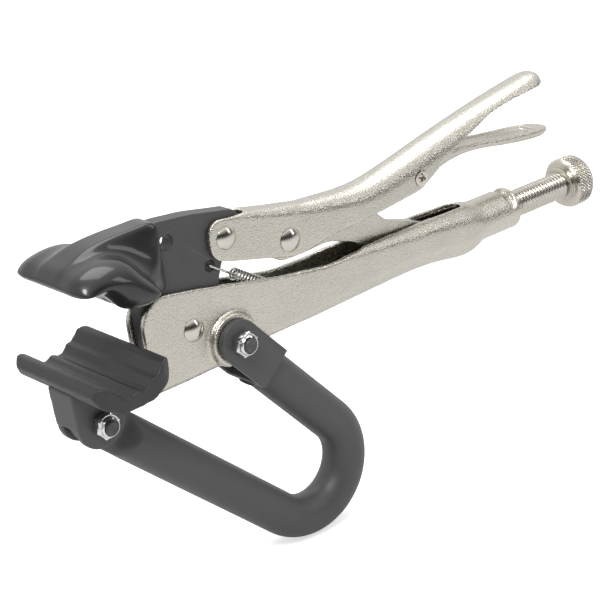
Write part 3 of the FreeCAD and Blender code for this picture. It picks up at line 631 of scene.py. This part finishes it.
def bevelled_copy(node: str, name: str, width: float, segments: int = 3) -> bpy.types.Object:
    """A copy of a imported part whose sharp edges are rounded.

    Args:
        node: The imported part.
        name: The new piece's name.
        width: The rounding's width in millimetres.
        segments: Faces across the rounding.

    Returns:
        The new piece, shaded.
    """
    piece = clean_copy(node, name)
    work = bmesh.new()
    work.from_mesh(piece.data)
    bmesh.ops.dissolve_limit(work, angle_limit=math.radians(0.6), verts=work.verts, edges=work.edges)
    work.to_mesh(piece.data)
    work.free()
    bevel = piece.modifiers.new("rounding", "BEVEL")
    bevel.width = width * MM
    bevel.segments = segments
    bevel.limit_method = "ANGLE"
    bevel.angle_limit = math.radians(32.0)
    bevel.use_clamp_overlap = False
    bevel.harden_normals = True
    shade(piece, 32.0)
    return apply_modifiers(piece)


def softened_copy(node: str, name: str, grain: float, passes: int) -> bpy.types.Object:
    """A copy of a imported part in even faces, with every edge worn round.

    Args:
        node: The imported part.
        name: The new piece's name.
        grain: The size of its faces in millimetres.
        passes: How many times it is smoothed.

    Returns:
        The new piece, shaded.
    """
    piece = clean_copy(node, name)
    even = piece.modifiers.new("even_faces", "REMESH")
    even.mode = "VOXEL"
    even.voxel_size = grain * MM
    even.use_smooth_shade = True
    relax = piece.modifiers.new("relax", "SMOOTH")
    relax.factor = 0.5
    relax.iterations = passes
    return shade(apply_modifiers(piece), 80.0)


# ---------------------------------------------------------------- rivets, bolts and nuts
@dataclass(frozen=True)
class Rivet:
    """A pin with a domed head on each cheek."""

    face: float = 5.05
    shank: float = 2.98
    head: float = 3.9
    dome: float = 1.6
    rim: float = 0.25

    def build(self, name: str, centre: Point2) -> bpy.types.Object:
        """Builds the rivet.

        Args:
            name: The piece's name.
            centre: The pivot's (x, z) about the main pivot.

        Returns:
            The rivet.
        """
        half = [Ring(0.0, self.shank), Ring(self.face, self.shank), Ring(self.face, self.head - self.rim / 2),
                Ring(self.face + self.rim / 2, self.head)]
        half += dome(self.head - self.rim / 2, self.dome - self.rim, self.face + self.rim)
        rings = mirrored(half) + half
        return turned(name, rings, row(centre[0], 0.0, centre[1]), Vector((0.0, 1.0, 0.0)))


@dataclass(frozen=True)
class BoltSet:
    """A hexagon bolt headed on the +Y side with a lock nut on the -Y side."""

    radius: float = 2.5
    flats: float = 8.0
    nut_height: float = 4.8
    head_height: float = 3.5
    proud: float = 0.7
    chamfer: float = 0.45
    thread_pitch: float = 0.8
    thread_depth: float = 0.25

    def nut(self, name: str, centre: Point2, face: float) -> bpy.types.Object:
        """Builds the lock nut: a hexagon with a rolled collar.

        Args:
            name: The piece's name.
            centre: The bolt's (x, z) about the main pivot.
            face: How far the seat is from the middle plane.

        Returns:
            The nut.
        """
        corner = self.flats / 2 / math.cos(math.pi / 6)
        low = self.flats / 2 - 0.1
        shoulder = self.nut_height * 0.7
        collar = self.flats / 2 - 0.55
        top = self.nut_height
        bore = self.radius + 0.02
        rings = [
            Ring(0.0, bore), Ring(0.0, low, self.flats), Ring(self.chamfer, corner, self.flats),
            Ring(shoulder - self.chamfer, corner, self.flats), Ring(shoulder, low, self.flats),
            Ring(shoulder + 0.05, collar + 0.15), Ring(shoulder + 0.35, collar),
            Ring(top - 0.5, collar - 0.05),
            Ring(top - 0.15, collar - 0.3), Ring(top, collar - 0.65), Ring(top - 0.05, bore + 0.35),
            Ring(top - 0.5, bore + 0.1), Ring(top - 0.6, bore),
        ]
        return turned(name, rings, row(centre[0], -face, centre[1]), Vector((0.0, -1.0, 0.0)), around=96)

    def bolt(self, name: str, centre: Point2, face: float) -> bpy.types.Object:
        """Builds the bolt, with its head, its shank and the thread at its end.

        Args:
            name: The piece's name.
            centre: The bolt's (x, z) about the main pivot.
            face: How far the head's seat is from the middle plane.

        Returns:
            The bolt.
        """
        corner = self.flats / 2 / math.cos(math.pi / 6)
        low = self.flats / 2 - 0.15
        head = -face - self.head_height
        tip = face + self.nut_height + self.proud
        rings = [
            Ring(head, 0.02), Ring(head, low - 0.4), Ring(head + 0.1, low, self.flats),
            Ring(head + 0.1 + self.chamfer, corner, self.flats), Ring(-face - 0.1, corner, self.flats),
            Ring(-face, low, self.flats), Ring(-face, self.radius - 0.02),
            Ring(face + self.nut_height - 2.0, self.radius - 0.02),
        ]
        place = face + self.nut_height - 1.6
        while place < tip - self.thread_pitch:
            rings.append(Ring(place, self.radius - self.thread_depth))
            rings.append(Ring(place + self.thread_pitch / 2, self.radius - 0.04))
            place += self.thread_pitch
        rings += [Ring(tip - 0.4, self.radius - 0.1), Ring(tip, self.radius - 0.5), Ring(tip, 0.02)]
        return turned(name, rings, row(centre[0], 0.0, centre[1]), Vector((0.0, -1.0, 0.0)), around=96)


# ---------------------------------------------------------------- fixed handle
@dataclass(frozen=True)
class FixedHandle:
    """The folded sheet handle, its spring tab, the main rivet and the return spring."""

    face_size: float = 0.45
    passes: int = 5
    spring_start: Point2 = (11.1, 18.1)
    spring_end: Point2 = (50.0, -7.6)
    coil_from: float = 12.5
    coil_to: float = 38.0
    coil_radius: float = 1.95
    wire_radius: float = 0.42
    coil_pitch: float = 1.35
    hook_bend: float = 9.5
    hook_edge: float = 6.0
    plate_half: float = 3.0
    tail_axis: float = -4.9
    tail_radius: float = 7.5
    tail_wall_middle: float = 6.3
    tail_from: float = 127.0
    tail_to: float = 132.0
    tail_end: float = 147.0
    tail_edge: float = 0.7

    def build(self, wardrobe: Wardrobe) -> None:
        """Builds every piece that stays with the fixed handle."""
        handle = softened_copy("fixed_handle", "handle_channel", self.face_size, self.passes)
        self.true_tail(handle)
        wardrobe.dress(handle, Body.HANDLE, Slot.NICKEL, "fixed_handle")
        tab = bevelled_copy("spring_tab", "handle_spring_tab", 0.25)
        wardrobe.dress(tab, Body.HANDLE, Slot.NICKEL, "spring_tab")
        rivet = Rivet().build("main_pivot_rivet", (0.0, 0.0))
        wardrobe.dress(rivet, Body.HANDLE, Slot.RIVET, "main_rivet")
        spring = wire_along("return_spring", self.spring_path(), self.wire_radius)
        wardrobe.paint(spring, Slot.SPRING)
        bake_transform(spring)
        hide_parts("jaw_spring")

    def true_tail(self, handle: bpy.types.Object) -> None:
        """Brings the outside of the handle's tail to one true cylinder about the screw.

        Args:
            handle: The handle's piece, whose mesh is changed.
        """
        for vertex in handle.data.vertices:
            place = (vertex.co - MAIN_PIVOT) / MM
            height = place.z - self.tail_axis
            radius = math.hypot(place.y, height)
            if place.x < self.tail_from or radius < self.tail_wall_middle:
                continue
            share = ease((place.x - self.tail_from) / (self.tail_to - self.tail_from))
            end = ease((self.tail_end - place.x) / self.tail_edge)
            wanted = self.tail_radius - self.tail_edge * (1 - end) * 0.6
            scale = 1 + (wanted / radius - 1) * share
            vertex.co = row(place.x, place.y * scale, self.tail_axis + height * scale)

    def spring_path(self) -> list[Vector]:
        """Works out the wire's middle line: front hook, close coil, rear hook.

        Returns:
            Points in metres.
        """
        start = row(self.spring_start[0], 0.0, self.spring_start[1])
        end = row(self.spring_end[0], 0.0, self.spring_end[1])
        way = (end - start).normalized()
        across = Vector((0.0, 1.0, 0.0))
        up = across.cross(way) * -1.0
        radius = self.coil_radius * MM
        side = (self.plate_half + 0.1 + self.wire_radius) * MM
        front_leg = start + way * (self.hook_bend * MM) - across * radius
        hook = smooth_path([
            start + across * side + way * (0.3 * MM), start + across * (side * 0.2),
            start - across * (side - 0.2 * MM),
            start - across * side + way * (1.2 * MM), start - across * side + way * (self.hook_edge * MM),
            front_leg,
        ], 8)
        coil = []
        turns = (self.coil_to - self.coil_from) / self.coil_pitch
        steps = int(turns * 20)
        for step in range(steps + 1):
            share = step / steps
            angle = 2 * math.pi * turns * share
            middle = start + way * ((self.coil_from + (self.coil_to - self.coil_from) * share) * MM)
            coil.append(middle - across * (radius * math.cos(angle)) + up * (radius * math.sin(angle)))
        last = coil[-1]
        rear = smooth_path([
            last + way * (1.0 * MM), end - way * (2.5 * MM) - across * radius, end - across * radius,
            end + way * (0.7 * MM), end + across * radius, end + across * radius - way * (1.8 * MM),
        ], 6)
        return hook + coil + rear


# ---------------------------------------------------------------- upper jaw
@dataclass(frozen=True)
class UpperJaw:
    """The jaw plate and the thick skin dipped over its saddle."""

    half_length: float = 20.0
    web_half: float = 4.4
    end_round: float = 7.5
    span_steps: int = 7
    stations: int = 44
    end_stations: int = 9

    # The skin's closed outline beside the web, and over the web, in matching order.
    wing: tuple[Point2, ...] = (
        (-48.4, 31.0), (-46.5, 34.4), (-41.0, 36.3), (-34.0, 36.8), (-27.5, 35.0), (-22.5, 30.0),
        (-19.6, 26.6), (-18.6, 25.0), (-17.7, 22.4), (-18.6, 19.9), (-20.4, 18.9), (-24.5, 18.6),
        (-30.0, 19.8), (-34.0, 24.2), (-38.5, 27.9), (-44.5, 28.3),
    )
    web: tuple[Point2, ...] = (
        (-48.2, 31.0), (-46.2, 34.9), (-41.0, 37.0), (-34.0, 39.0), (-26.0, 39.8), (-16.0, 39.9),
        (-9.2, 39.7), (-7.8, 38.4), (-7.7, 28.0), (-7.7, 18.2), (-8.8, 16.8),
        (-15.5, 16.6), (-28.0, 18.6), (-33.5, 24.2),
        (-38.4, 27.8), (-44.5, 28.2),
    )
    front_reach: float = 14.0
    rear_reach: float = 12.0
    rear_points: tuple[int, int] = (4, 12)
    wall_power: float = 4.5
    wall_start: float = 0.22
    end_shortening: float = 0.24

    def build(self, wardrobe: Wardrobe) -> None:
        """Builds the jaw plate and its skin."""
        plate = bevelled_copy("jaw_plate", "jaw_blade", 0.35)
        wardrobe.dress(plate, Body.JAW, Slot.JAW, "jaw_plate")
        skin = self.skin()
        wardrobe.dress(skin, Body.JAW, Slot.DIP, "jaw_coating", "jaw_wings")

    def station_places(self) -> list[float]:
        """The places across the jaw, closer together beside the web and at the ends."""
        half = []
        for step in range(self.stations + 1):
            share = step / self.stations
            half.append(self.half_length * (share - 0.11 * math.sin(2 * math.pi * share)))
        ends = []
        for step in range(self.end_stations + 1):
            share = step / self.end_stations
            ends.append(self.half_length - self.end_round * (1 - math.sin(math.pi / 2 * share)))
        merged = sorted([place for place in half if place < self.half_length - self.end_round - 0.2] + ends)
        return [-place for place in reversed(merged) if place > 1e-6] + merged

    def ring_at(self, across: float) -> list[Vector]:
        """The skin's outline at a place across the jaw.

        Args:
            across: The place along Y in millimetres.

        Returns:
            Points in millimetres, in the XZ plane.
        """
        corners = []
        first, last = self.rear_points
        for index, (beside, over) in enumerate(zip(self.wing, self.web)):
            reach = self.rear_reach if first <= index <= last else self.front_reach
            share = (abs(across) - self.web_half) / (reach - self.web_half)
            share = min(max(share, 0.0), 1.0)
            sweep = ease(share)
            drop = (1 - (1 - share) ** self.wall_power) * ease(share / self.wall_start)
            corners.append(Vector((over[0] + (beside[0] - over[0]) * sweep, 0.0,
                                   over[1] + (beside[1] - over[1]) * drop)))
        ring = smooth_path(corners, self.span_steps, closed=True)
        into = (abs(across) - (self.half_length - self.end_round)) / self.end_round
        if into > 0:
            into = min(into, 1.0)
            thin = math.sqrt(max(1 - into ** 2.0, 0.0))
            long = 1 - self.end_shortening * (1 - thin)
            centre = sum(ring, Vector()) / len(ring)
            ring = self.pinched(ring, centre, thin, long)
        return ring

    @staticmethod
    def pinched(ring: Sequence[Vector], centre: Vector, thin: float, long: float) -> list[Vector]:
        """Draws a ring in towards its own middle line.

        Args:
            ring: The ring's points.
            centre: The middle of the ring.
            thin: The share of its thickness that is left.
            long: The share of its length that is left.

        Returns:
            The drawn-in ring.
        """
        count = len(ring)
        drawn = []
        for index, point in enumerate(ring):
            middle = (point + ring[(-index) % count]) / 2
            close = middle + (point - middle) * thin
            drawn.append(centre + (close - centre) * long)
        return drawn

    def skin(self) -> bpy.types.Object:
        """Lofts the skin along Y through its rings.

        Returns:
            The closed skin.
        """
        places = self.station_places()
        points = []
        around = 0
        for across in places:
            ring = self.ring_at(across)
            around = len(ring)
            points += [row(point.x, across, point.z) for point in ring]
        piece = new_piece("jaw_dipped_skin", points, tube_faces(len(places), around))
        fix_outside(piece)
        rounder = piece.modifiers.new("rounder", "SMOOTH")
        rounder.factor = 0.5
        rounder.iterations = 6
        finer = piece.modifiers.new("finer", "SUBSURF")
        finer.levels = 1
        finer.render_levels = 1
        return shade(apply_modifiers(piece), 85.0)


# ---------------------------------------------------------------- movable handle
@dataclass(frozen=True)
class MovableHandle:
    """The movable handle with its rivets, the toggle link, the release lever and its pin."""

    face_size: float = 0.42
    passes: int = 5
    lever_pivot: Point2 = (17.6, 26.0)
    link_pivot: Point2 = (43.1, 17.1)
    release_pivot: Point2 = (100.7, 21.7)
    pin_face: float = 7.6
    pin_lip: float = 0.35
    pin_radius: float = 2.38
    pin_bore: float = 1.3

    def build(self, wardrobe: Wardrobe) -> None:
        """Builds the handle and what is pinned to it."""
        handle = softened_copy("lever_handle", "lever_channel", self.face_size, self.passes)
        wardrobe.dress(handle, Body.LEVER, Slot.NICKEL, "lever_handle")
        rivet = Rivet().build("lever_pivot_rivet", self.lever_pivot)
        wardrobe.dress(rivet, Body.LEVER, Slot.RIVET, "lever_rivet")
        rivet = Rivet(face=5.15, head=4.1).build("link_pivot_rivet", self.link_pivot)
        wardrobe.dress(rivet, Body.LEVER, Slot.RIVET, "link_rivet")
        wardrobe.dress(self.pin(), Body.LEVER, Slot.RIVET, "release_pin")
        link = bevelled_copy("toggle_link", "toggle_link_bar", 0.3)
        wardrobe.dress(link, Body.LINK, Slot.NICKEL, "toggle_link")
        release = softened_copy("release_lever", "release_tongue", 0.35, 9)
        wardrobe.dress(release, Body.RELEASE, Slot.NICKEL, "release_lever")

    def pin(self) -> bpy.types.Object:
        """Builds the hollow pin, rolled over on each cheek."""
        lip = self.pin_face + self.pin_lip
        half = [
            Ring(0.0, self.pin_radius), Ring(self.pin_face, self.pin_radius),
            Ring(self.pin_face + 0.02, self.pin_radius + 0.4),
            Ring(self.pin_face + 0.2, self.pin_radius + 0.45),
            Ring(lip, self.pin_radius + 0.1), Ring(lip, self.pin_bore + 0.45),
            Ring(lip - 0.3, self.pin_bore + 0.1),
            Ring(lip - 1.4, self.pin_bore), Ring(lip - 2.2, 0.02),
        ]
        return turned("release_hollow_pin", mirrored(half) + half,
                      row(self.release_pivot[0], 0.0, self.release_pivot[1]), Vector((0.0, 1.0, 0.0)))


# ---------------------------------------------------------------- adjusting screw
@dataclass(frozen=True)
class Adjuster:
    """The adjusting screw with its thread and the knurled knob."""

    axis_height: float = -4.9
    tip: float = 115.1
    shoulder: float = 174.2
    radius: float = 4.95
    root: float = 4.2
    pitch: float = 1.5
    knob_start: float = 175.5
    knob_length: float = 8.5
    knob_radius: float = 9.5
    knob_chamfer: float = 1.1
    collar_radius: float = 6.6
    collar_length: float = 1.2
    knurls: int = 46
    knurl_pitch: float = 1.35
    knurl_depth: float = 0.6

    def build(self, wardrobe: Wardrobe) -> None:
        """Builds the screw and the knob."""
        wardrobe.dress(self.screw(), Body.SCREW, Slot.SCREW, "adjusting_screw")
        wardrobe.dress(self.knob(), Body.KNOB, Slot.SCREW, "adjusting_knob")

    def screw(self) -> bpy.types.Object:
        """Builds the screw as one helical thread.

        Returns:
            The screw.
        """
        around = 60
        per_pitch = 10
        rings = int((self.shoulder - self.tip) / self.pitch * per_pitch)
        points = []
        for ring in range(rings + 1):
            place = self.tip + (self.shoulder - self.tip) * ring / rings
            ends = min(place - self.tip, self.shoulder - place)
            for step in range(around):
                phase = (place / self.pitch - step / around) % 1.0
                flank = min(max(abs(phase - 0.5) * 2.6 - 0.12, 0.0), 1.0)
                radius = self.root + (self.radius - self.root) * flank
                limit = self.radius - 1.5 + ends if ring < rings / 2 else self.root + 2 * ends
                radius = min(radius, limit)
                angle = 2 * math.pi * step / around
                height = self.axis_height + radius * math.sin(angle)
                points.append(row(place, radius * math.cos(angle), height))
        return shade(fix_outside(new_piece("threaded_screw", points, tube_faces(rings + 1, around))), 70.0)

    def knob(self) -> bpy.types.Object:
        """Builds the knob, its diamond knurl and its collar.

        Returns:
            The knob.
        """
        around = self.knurls * 7
        end = self.knob_start + self.knob_length
        inner = self.knob_radius - self.knob_chamfer
        collar = self.knob_start - self.collar_length
        rings = [(collar, 3.6, 0.0), (collar, self.collar_radius - 0.3, 0.0),
                 (collar + 0.25, self.collar_radius, 0.0),
                 (self.knob_start - 0.3, self.collar_radius, 0.0),
                 (self.knob_start, self.collar_radius + 0.3, 0.0),
                 (self.knob_start, inner - 0.1, 0.0), (self.knob_start + 0.1, inner, 0.0)]
        steps = 40
        first = self.knob_start + self.knob_chamfer
        last = end - self.knob_chamfer
        rings.append((first, self.knob_radius - self.knurl_depth * 0.8, 0.0))
        for step in range(1, steps):
            place = first + (last - first) * step / steps
            fade = min(step, steps - step) / 3
            rings.append((place, self.knob_radius - self.knurl_depth, self.knurl_depth * min(fade, 1.0)))
        rings += [(last, self.knob_radius - self.knurl_depth * 0.8, 0.0),
                  (end - 0.1, inner, 0.0), (end, inner - 0.15, 0.0),
                  (end, 4.0, 0.0), (end - 0.25, 3.7, 0.0), (end - 0.25, 0.05, 0.0)]
        points = []
        for place, radius, height in rings:
            for step in range(around):
                turn = self.knurls * step / around
                left = (turn + place / self.knurl_pitch) % 1.0
                right = (turn - place / self.knurl_pitch) % 1.0
                rise = min(1 - abs(2 * left - 1), 1 - abs(2 * right - 1))
                size = radius + height * min(rise * 1.5, 1.0)
                angle = 2 * math.pi * step / around
                points.append(row(place, size * math.cos(angle), self.axis_height + size * math.sin(angle)))
        return shade(fix_outside(new_piece("knurled_knob", points, tube_faces(len(rings), around))), 40.0)


# ---------------------------------------------------------------- arm
@dataclass(frozen=True)
class Arm:
    """The U-shaped bar with its clevis, weld, bolt and nut."""

    bar_diameter: float = 15.0
    upper_degrees: float = 49.0
    straight: float = 60.6
    bend_radius: float = 18.45
    bar_from: float = 19.2
    tongue_half: float = 3.5
    tongue_radius: float = 7.4
    flat_until: float = 10.0
    round_from: float = 17.0
    clevis_face: float = 10.0

    def build(self, wardrobe: Wardrobe) -> None:
        """Builds every piece that swings with the arm."""
        wardrobe.dress(self.bar(), Body.ARM, Slot.ARM, "arm_bar")
        clevis = bevelled_copy("arm_clevis", "arm_fork", 0.45)
        wardrobe.dress(clevis, Body.ARM, Slot.ARM, "arm_clevis")
        weld = bevelled_copy("arm_weld", "arm_weld_bead", 0.3)
        wardrobe.dress(weld, Body.ARM, Slot.ARM, "arm_weld")
        centre = pivot_point("arm_pivot")
        bolts = BoltSet()
        wardrobe.dress(bolts.bolt("arm_pivot_bolt", centre, self.clevis_face), Body.ARM, Slot.JAW, "arm_bolt")
        wardrobe.dress(bolts.nut("arm_pivot_nut", centre, self.clevis_face), Body.ARM, Slot.ZINC, "arm_nut")

    def middle_line(self) -> list[tuple[Vector, Vector, float]]:
        """Works out the bar's middle line from the clevis to beyond the pad's bolt.

        Returns:
            For each ring, its centre and direction in the XZ plane, and how far it is
            from the pad's bolt along the lower leg (large on the rest of the bar).
        """
        arm_x, arm_z = pivot_point("arm_pivot")
        pad_x, pad_z = pivot_point("pad_pivot")
        slope = math.radians(self.upper_degrees)
        upper = Vector((math.cos(slope), 0.0, -math.sin(slope)))
        side = Vector((-math.sin(slope), 0.0, -math.cos(slope)))
        start = Vector((arm_x, 0.0, arm_z))
        centre = start + upper * self.straight + side * self.bend_radius
        pad = Vector((pad_x, 0.0, pad_z))
        to_centre = centre - pad
        lower_angle = math.atan2(-to_centre.z, to_centre.x) + math.asin(self.bend_radius / to_centre.length)
        lower = Vector((math.cos(lower_angle), 0.0, -math.sin(lower_angle)))
        leg = math.sqrt(to_centre.length ** 2 - self.bend_radius ** 2)
        far = 1000.0
        line = []
        for step in range(14):
            reach = self.bar_from + (self.straight - self.bar_from) * step / 14
            line.append((start + upper * reach, upper, far))
        from_angle = math.atan2(-side.z, -side.x)
        turn_end = pad + lower * leg
        outward = turn_end - centre
        to_angle = math.atan2(outward.z, outward.x)
        while to_angle > from_angle:
            to_angle -= 2 * math.pi
        for step in range(49):
            angle = from_angle + (to_angle - from_angle) * step / 48
            spoke = Vector((math.cos(angle), 0.0, math.sin(angle)))
            way = Vector((spoke.z, 0.0, -spoke.x))
            line.append((centre + spoke * self.bend_radius, way, far))
        places = [leg * (1 - step / 24) for step in range(1, 18)]
        places = [place for place in places if place > self.round_from]
        places += [self.round_from - (self.round_from - self.flat_until) * step / 8 for step in range(9)]
        places += [self.flat_until * (1 - step / 4) for step in range(1, 5)]
        places += [-self.tongue_radius * math.sin(math.pi / 2 * step / 12) for step in range(1, 13)]
        for place in places:
            line.append((pad + lower * place, -lower, place))
        return line

    def bar(self) -> bpy.types.Object:
        """Sweeps the round bar and presses its lower end into a flat tongue.

        Returns:
            The bar.
        """
        around = 56
        round_half = self.bar_diameter / 2
        points = []
        line = self.middle_line()
        for centre, way, place in line:
            flat = ease((self.round_from - place) / (self.round_from - self.flat_until))
            wide = round_half + (self.tongue_radius - round_half) * flat
            if place < 0:
                wide = math.sqrt(max(self.tongue_radius ** 2 - place ** 2, 0.0004))
            thick = round_half + (self.tongue_half - round_half) * flat
            power = 1 - 0.62 * flat
            side = Vector((-way.z, 0.0, way.x))
            for step in range(around):
                angle = 2 * math.pi * step / around
                out = math.copysign(abs(math.cos(angle)) ** power, math.cos(angle)) * wide
                depth = math.copysign(abs(math.sin(angle)) ** power, math.sin(angle)) * thick
                place_now = centre + side * out
                points.append(row(place_now.x, depth, place_now.z))
        return shade(fix_outside(new_piece("arm_round_bar", points, tube_faces(len(line), around))), 50.0)


# ---------------------------------------------------------------- clamp pad
@dataclass(frozen=True)
class ClampPad:
    """The swivelling pad: its steel bracket, ribbed cover, bolt and nut."""

    ear_face: float = 6.6

    def build(self, wardrobe: Wardrobe) -> None:
        """Builds every piece that tilts with the pad."""
        bracket = softened_copy("pad_bracket", "pad_steel_bracket", 0.4, 5)
        wardrobe.dress(bracket, Body.PAD, Slot.ARM, "pad_bracket")
        cover = softened_copy("pad_cover", "pad_ribbed_cover", 0.4, 6)
        wardrobe.dress(cover, Body.PAD, Slot.RUBBER, "pad_cover")
        centre = pivot_point("pad_pivot")
        bolts = BoltSet()
        wardrobe.dress(bolts.bolt("pad_pivot_bolt", centre, self.ear_face), Body.PAD, Slot.JAW, "pad_bolt")
        wardrobe.dress(bolts.nut("pad_pivot_nut", centre, self.ear_face), Body.PAD, Slot.ZINC, "pad_nut")


# ---------------------------------------------------------------- studio
@dataclass(frozen=True)
class Softbox:
    """One area lamp, placed from the middle of the tool, in metres."""

    name: str
    offset: tuple[float, float, float]
    width: float
    height: float
    watts: float


@dataclass(frozen=True)
class Studio:
    """A pale floor, a white world, soft lamps and the camera."""

    aim: tuple[float, float, float] = (47.8, 0.0, -7.2)
    view: tuple[float, float, float] = (-0.5631, -0.7398, 0.3680)
    upward: tuple[float, float, float] = (0.320, 0.215, 0.923)
    distance: float = 0.7
    lens: float = 124.6
    sensor: float = 36.0
    floor_half: float = 8.0
    daylight: float = 0.5
    boxes: tuple[Softbox, ...] = (
        Softbox("key_box", (-0.45, -0.42, 0.75), 0.3, 0.2, 4.5),
        Softbox("top_box", (0.25, 0.15, 0.9), 0.8, 0.5, 4.5),
        Softbox("side_box", (0.75, -0.75, 0.45), 0.2, 0.5, 1.2),
    )

    def build(self) -> None:
        """Builds the whole studio."""
        self.camera()
        self.world()
        self.floor()
        for box in self.boxes:
            self.lamp(box)
        bpy.context.scene.view_settings.view_transform = "Standard"

    def looking(self, eye: Vector, target: Vector, upward: Vector) -> Matrix:
        """The placement of something at eye that looks at target, -Z first."""
        back = (eye - target).normalized()
        right = upward.cross(back).normalized()
        placed = Matrix((right, back.cross(right), back)).transposed().to_4x4()
        placed.translation = eye
        return placed

    def camera(self) -> None:
        """Puts the camera in place and makes it the scene's own."""
        lens = bpy.data.cameras.new("camera")
        lens.lens = self.lens
        lens.sensor_width = self.sensor
        camera = bpy.data.objects.new("camera", lens)
        bpy.context.scene.collection.objects.link(camera)
        target = row(*self.aim)
        eye = target + Vector(self.view).normalized() * self.distance
        camera.matrix_world = self.looking(eye, target, Vector(self.upward))
        bpy.context.scene.camera = camera

    def lamp(self, box: Softbox) -> None:
        """Hangs one softbox, facing the tool."""
        light = bpy.data.lights.new(box.name, "AREA")
        light.shape = "RECTANGLE"
        light.size = box.width
        light.size_y = box.height
        light.energy = box.watts
        lamp = bpy.data.objects.new(box.name, light)
        bpy.context.scene.collection.objects.link(lamp)
        target = row(*self.aim)
        lamp.matrix_world = self.looking(target + Vector(box.offset), target, Vector((0.0, 0.0, 1.0)))

    def world(self) -> None:
        """Lights the scene evenly, white to the camera, with a dark wall for gloss to show."""
        world = bpy.data.worlds.new("studio")
        bpy.context.scene.world = world
        world.use_nodes = True
        tree = world.node_tree
        nodes = tree.nodes
        nodes.clear()
        rays = nodes.new("ShaderNodeLightPath")
        light = nodes.new("ShaderNodeBackground")
        light.inputs["Strength"].default_value = self.daylight
        light.inputs["Color"].default_value = (1.0, 1.0, 1.0, 1.0)
        shine = nodes.new("ShaderNodeBackground")
        white = nodes.new("ShaderNodeBackground")
        white.inputs["Color"].default_value = (1.0, 1.0, 1.0, 1.0)
        place = nodes.new("ShaderNodeTexCoord")
        parts = nodes.new("ShaderNodeSeparateXYZ")
        near = self.ramp(nodes, (-0.05, -0.55))
        low = self.ramp(nodes, (0.75, 0.3))
        wall = nodes.new("ShaderNodeMath")
        wall.operation = "MULTIPLY"
        tone = nodes.new("ShaderNodeMix")
        tone.data_type = "RGBA"
        tone.inputs["A"].default_value = (1.0, 1.0, 1.0, 1.0)
        tone.inputs["B"].default_value = (0.03, 0.03, 0.03, 1.0)
        gloss = nodes.new("ShaderNodeMath")
        gloss.operation = "MAXIMUM"
        first = nodes.new("ShaderNodeMixShader")
        second = nodes.new("ShaderNodeMixShader")
        out = nodes.new("ShaderNodeOutputWorld")
        links = tree.links
        links.new(place.outputs["Generated"], parts.inputs[0])
        links.new(parts.outputs["Y"], near.inputs["Value"])
        links.new(parts.outputs["Z"], low.inputs["Value"])
        links.new(near.outputs["Result"], wall.inputs[0])
        links.new(low.outputs["Result"], wall.inputs[1])
        links.new(wall.outputs[0], tone.inputs["Factor"])
        links.new(tone.outputs["Result"], shine.inputs["Color"])
        links.new(rays.outputs["Is Glossy Ray"], gloss.inputs[0])
        links.new(rays.outputs["Is Transmission Ray"], gloss.inputs[1])
        links.new(gloss.outputs[0], first.inputs["Fac"])
        links.new(light.outputs[0], first.inputs[1])
        links.new(shine.outputs[0], first.inputs[2])
        links.new(rays.outputs["Is Camera Ray"], second.inputs["Fac"])
        links.new(first.outputs[0], second.inputs[1])
        links.new(white.outputs[0], second.inputs[2])
        links.new(second.outputs[0], out.inputs["Surface"])

    @staticmethod
    def ramp(nodes: bpy.types.Nodes, span: Point2) -> bpy.types.Node:
        """A smooth ramp node from 0 at the span's start to 1 at its end."""
        node = nodes.new("ShaderNodeMapRange")
        node.interpolation_type = "SMOOTHSTEP"
        node.inputs["From Min"].default_value = span[0]
        node.inputs["From Max"].default_value = span[1]
        return node

    def floor(self) -> None:
        """Lays the pale floor under the lowest point of the tool."""
        half = self.floor_half
        height = min(0.0, CAD_BOX[0][2])
        corners = [Vector((-half, -half, height)), Vector((half, -half, height)),
                   Vector((half, half, height)),
                   Vector((-half, half, height))]
        floor = new_piece("studio_floor", corners, [[0, 1, 2, 3]])
        paint = bpy.data.materials.new("floor_paint")
        paint.use_nodes = True
        tree = paint.node_tree
        shader = tree.nodes["Principled BSDF"]
        shader.inputs["Base Color"].default_value = (0.86, 0.86, 0.86, 1.0)
        shader.inputs["Roughness"].default_value = 0.9
        shader.inputs["Specular IOR Level"].default_value = 0.1
        rays = tree.nodes.new("ShaderNodeLightPath")
        lift = tree.nodes.new("ShaderNodeMath")
        lift.operation = "MULTIPLY"
        lift.inputs[1].default_value = 0.6
        shader.inputs["Emission Color"].default_value = (1.0, 1.0, 1.0, 1.0)
        tree.links.new(rays.outputs["Is Camera Ray"], lift.inputs[0])
        tree.links.new(lift.outputs[0], shader.inputs["Emission Strength"])
        floor.data.materials.append(paint)


def main() -> None:
    """Builds the studio and then the tool, one sub-assembly after another."""
    logging.basicConfig(level=logging.INFO, format="%(name)s: %(message)s")
    Studio().build()
    wardrobe = Wardrobe()
    for part in (FixedHandle(), UpperJaw(), MovableHandle(), Adjuster(), Arm(), ClampPad()):
        LOG.info("building %s", type(part).__name__)
        part.build(wardrobe)


if __name__ == "__main__":
    main()
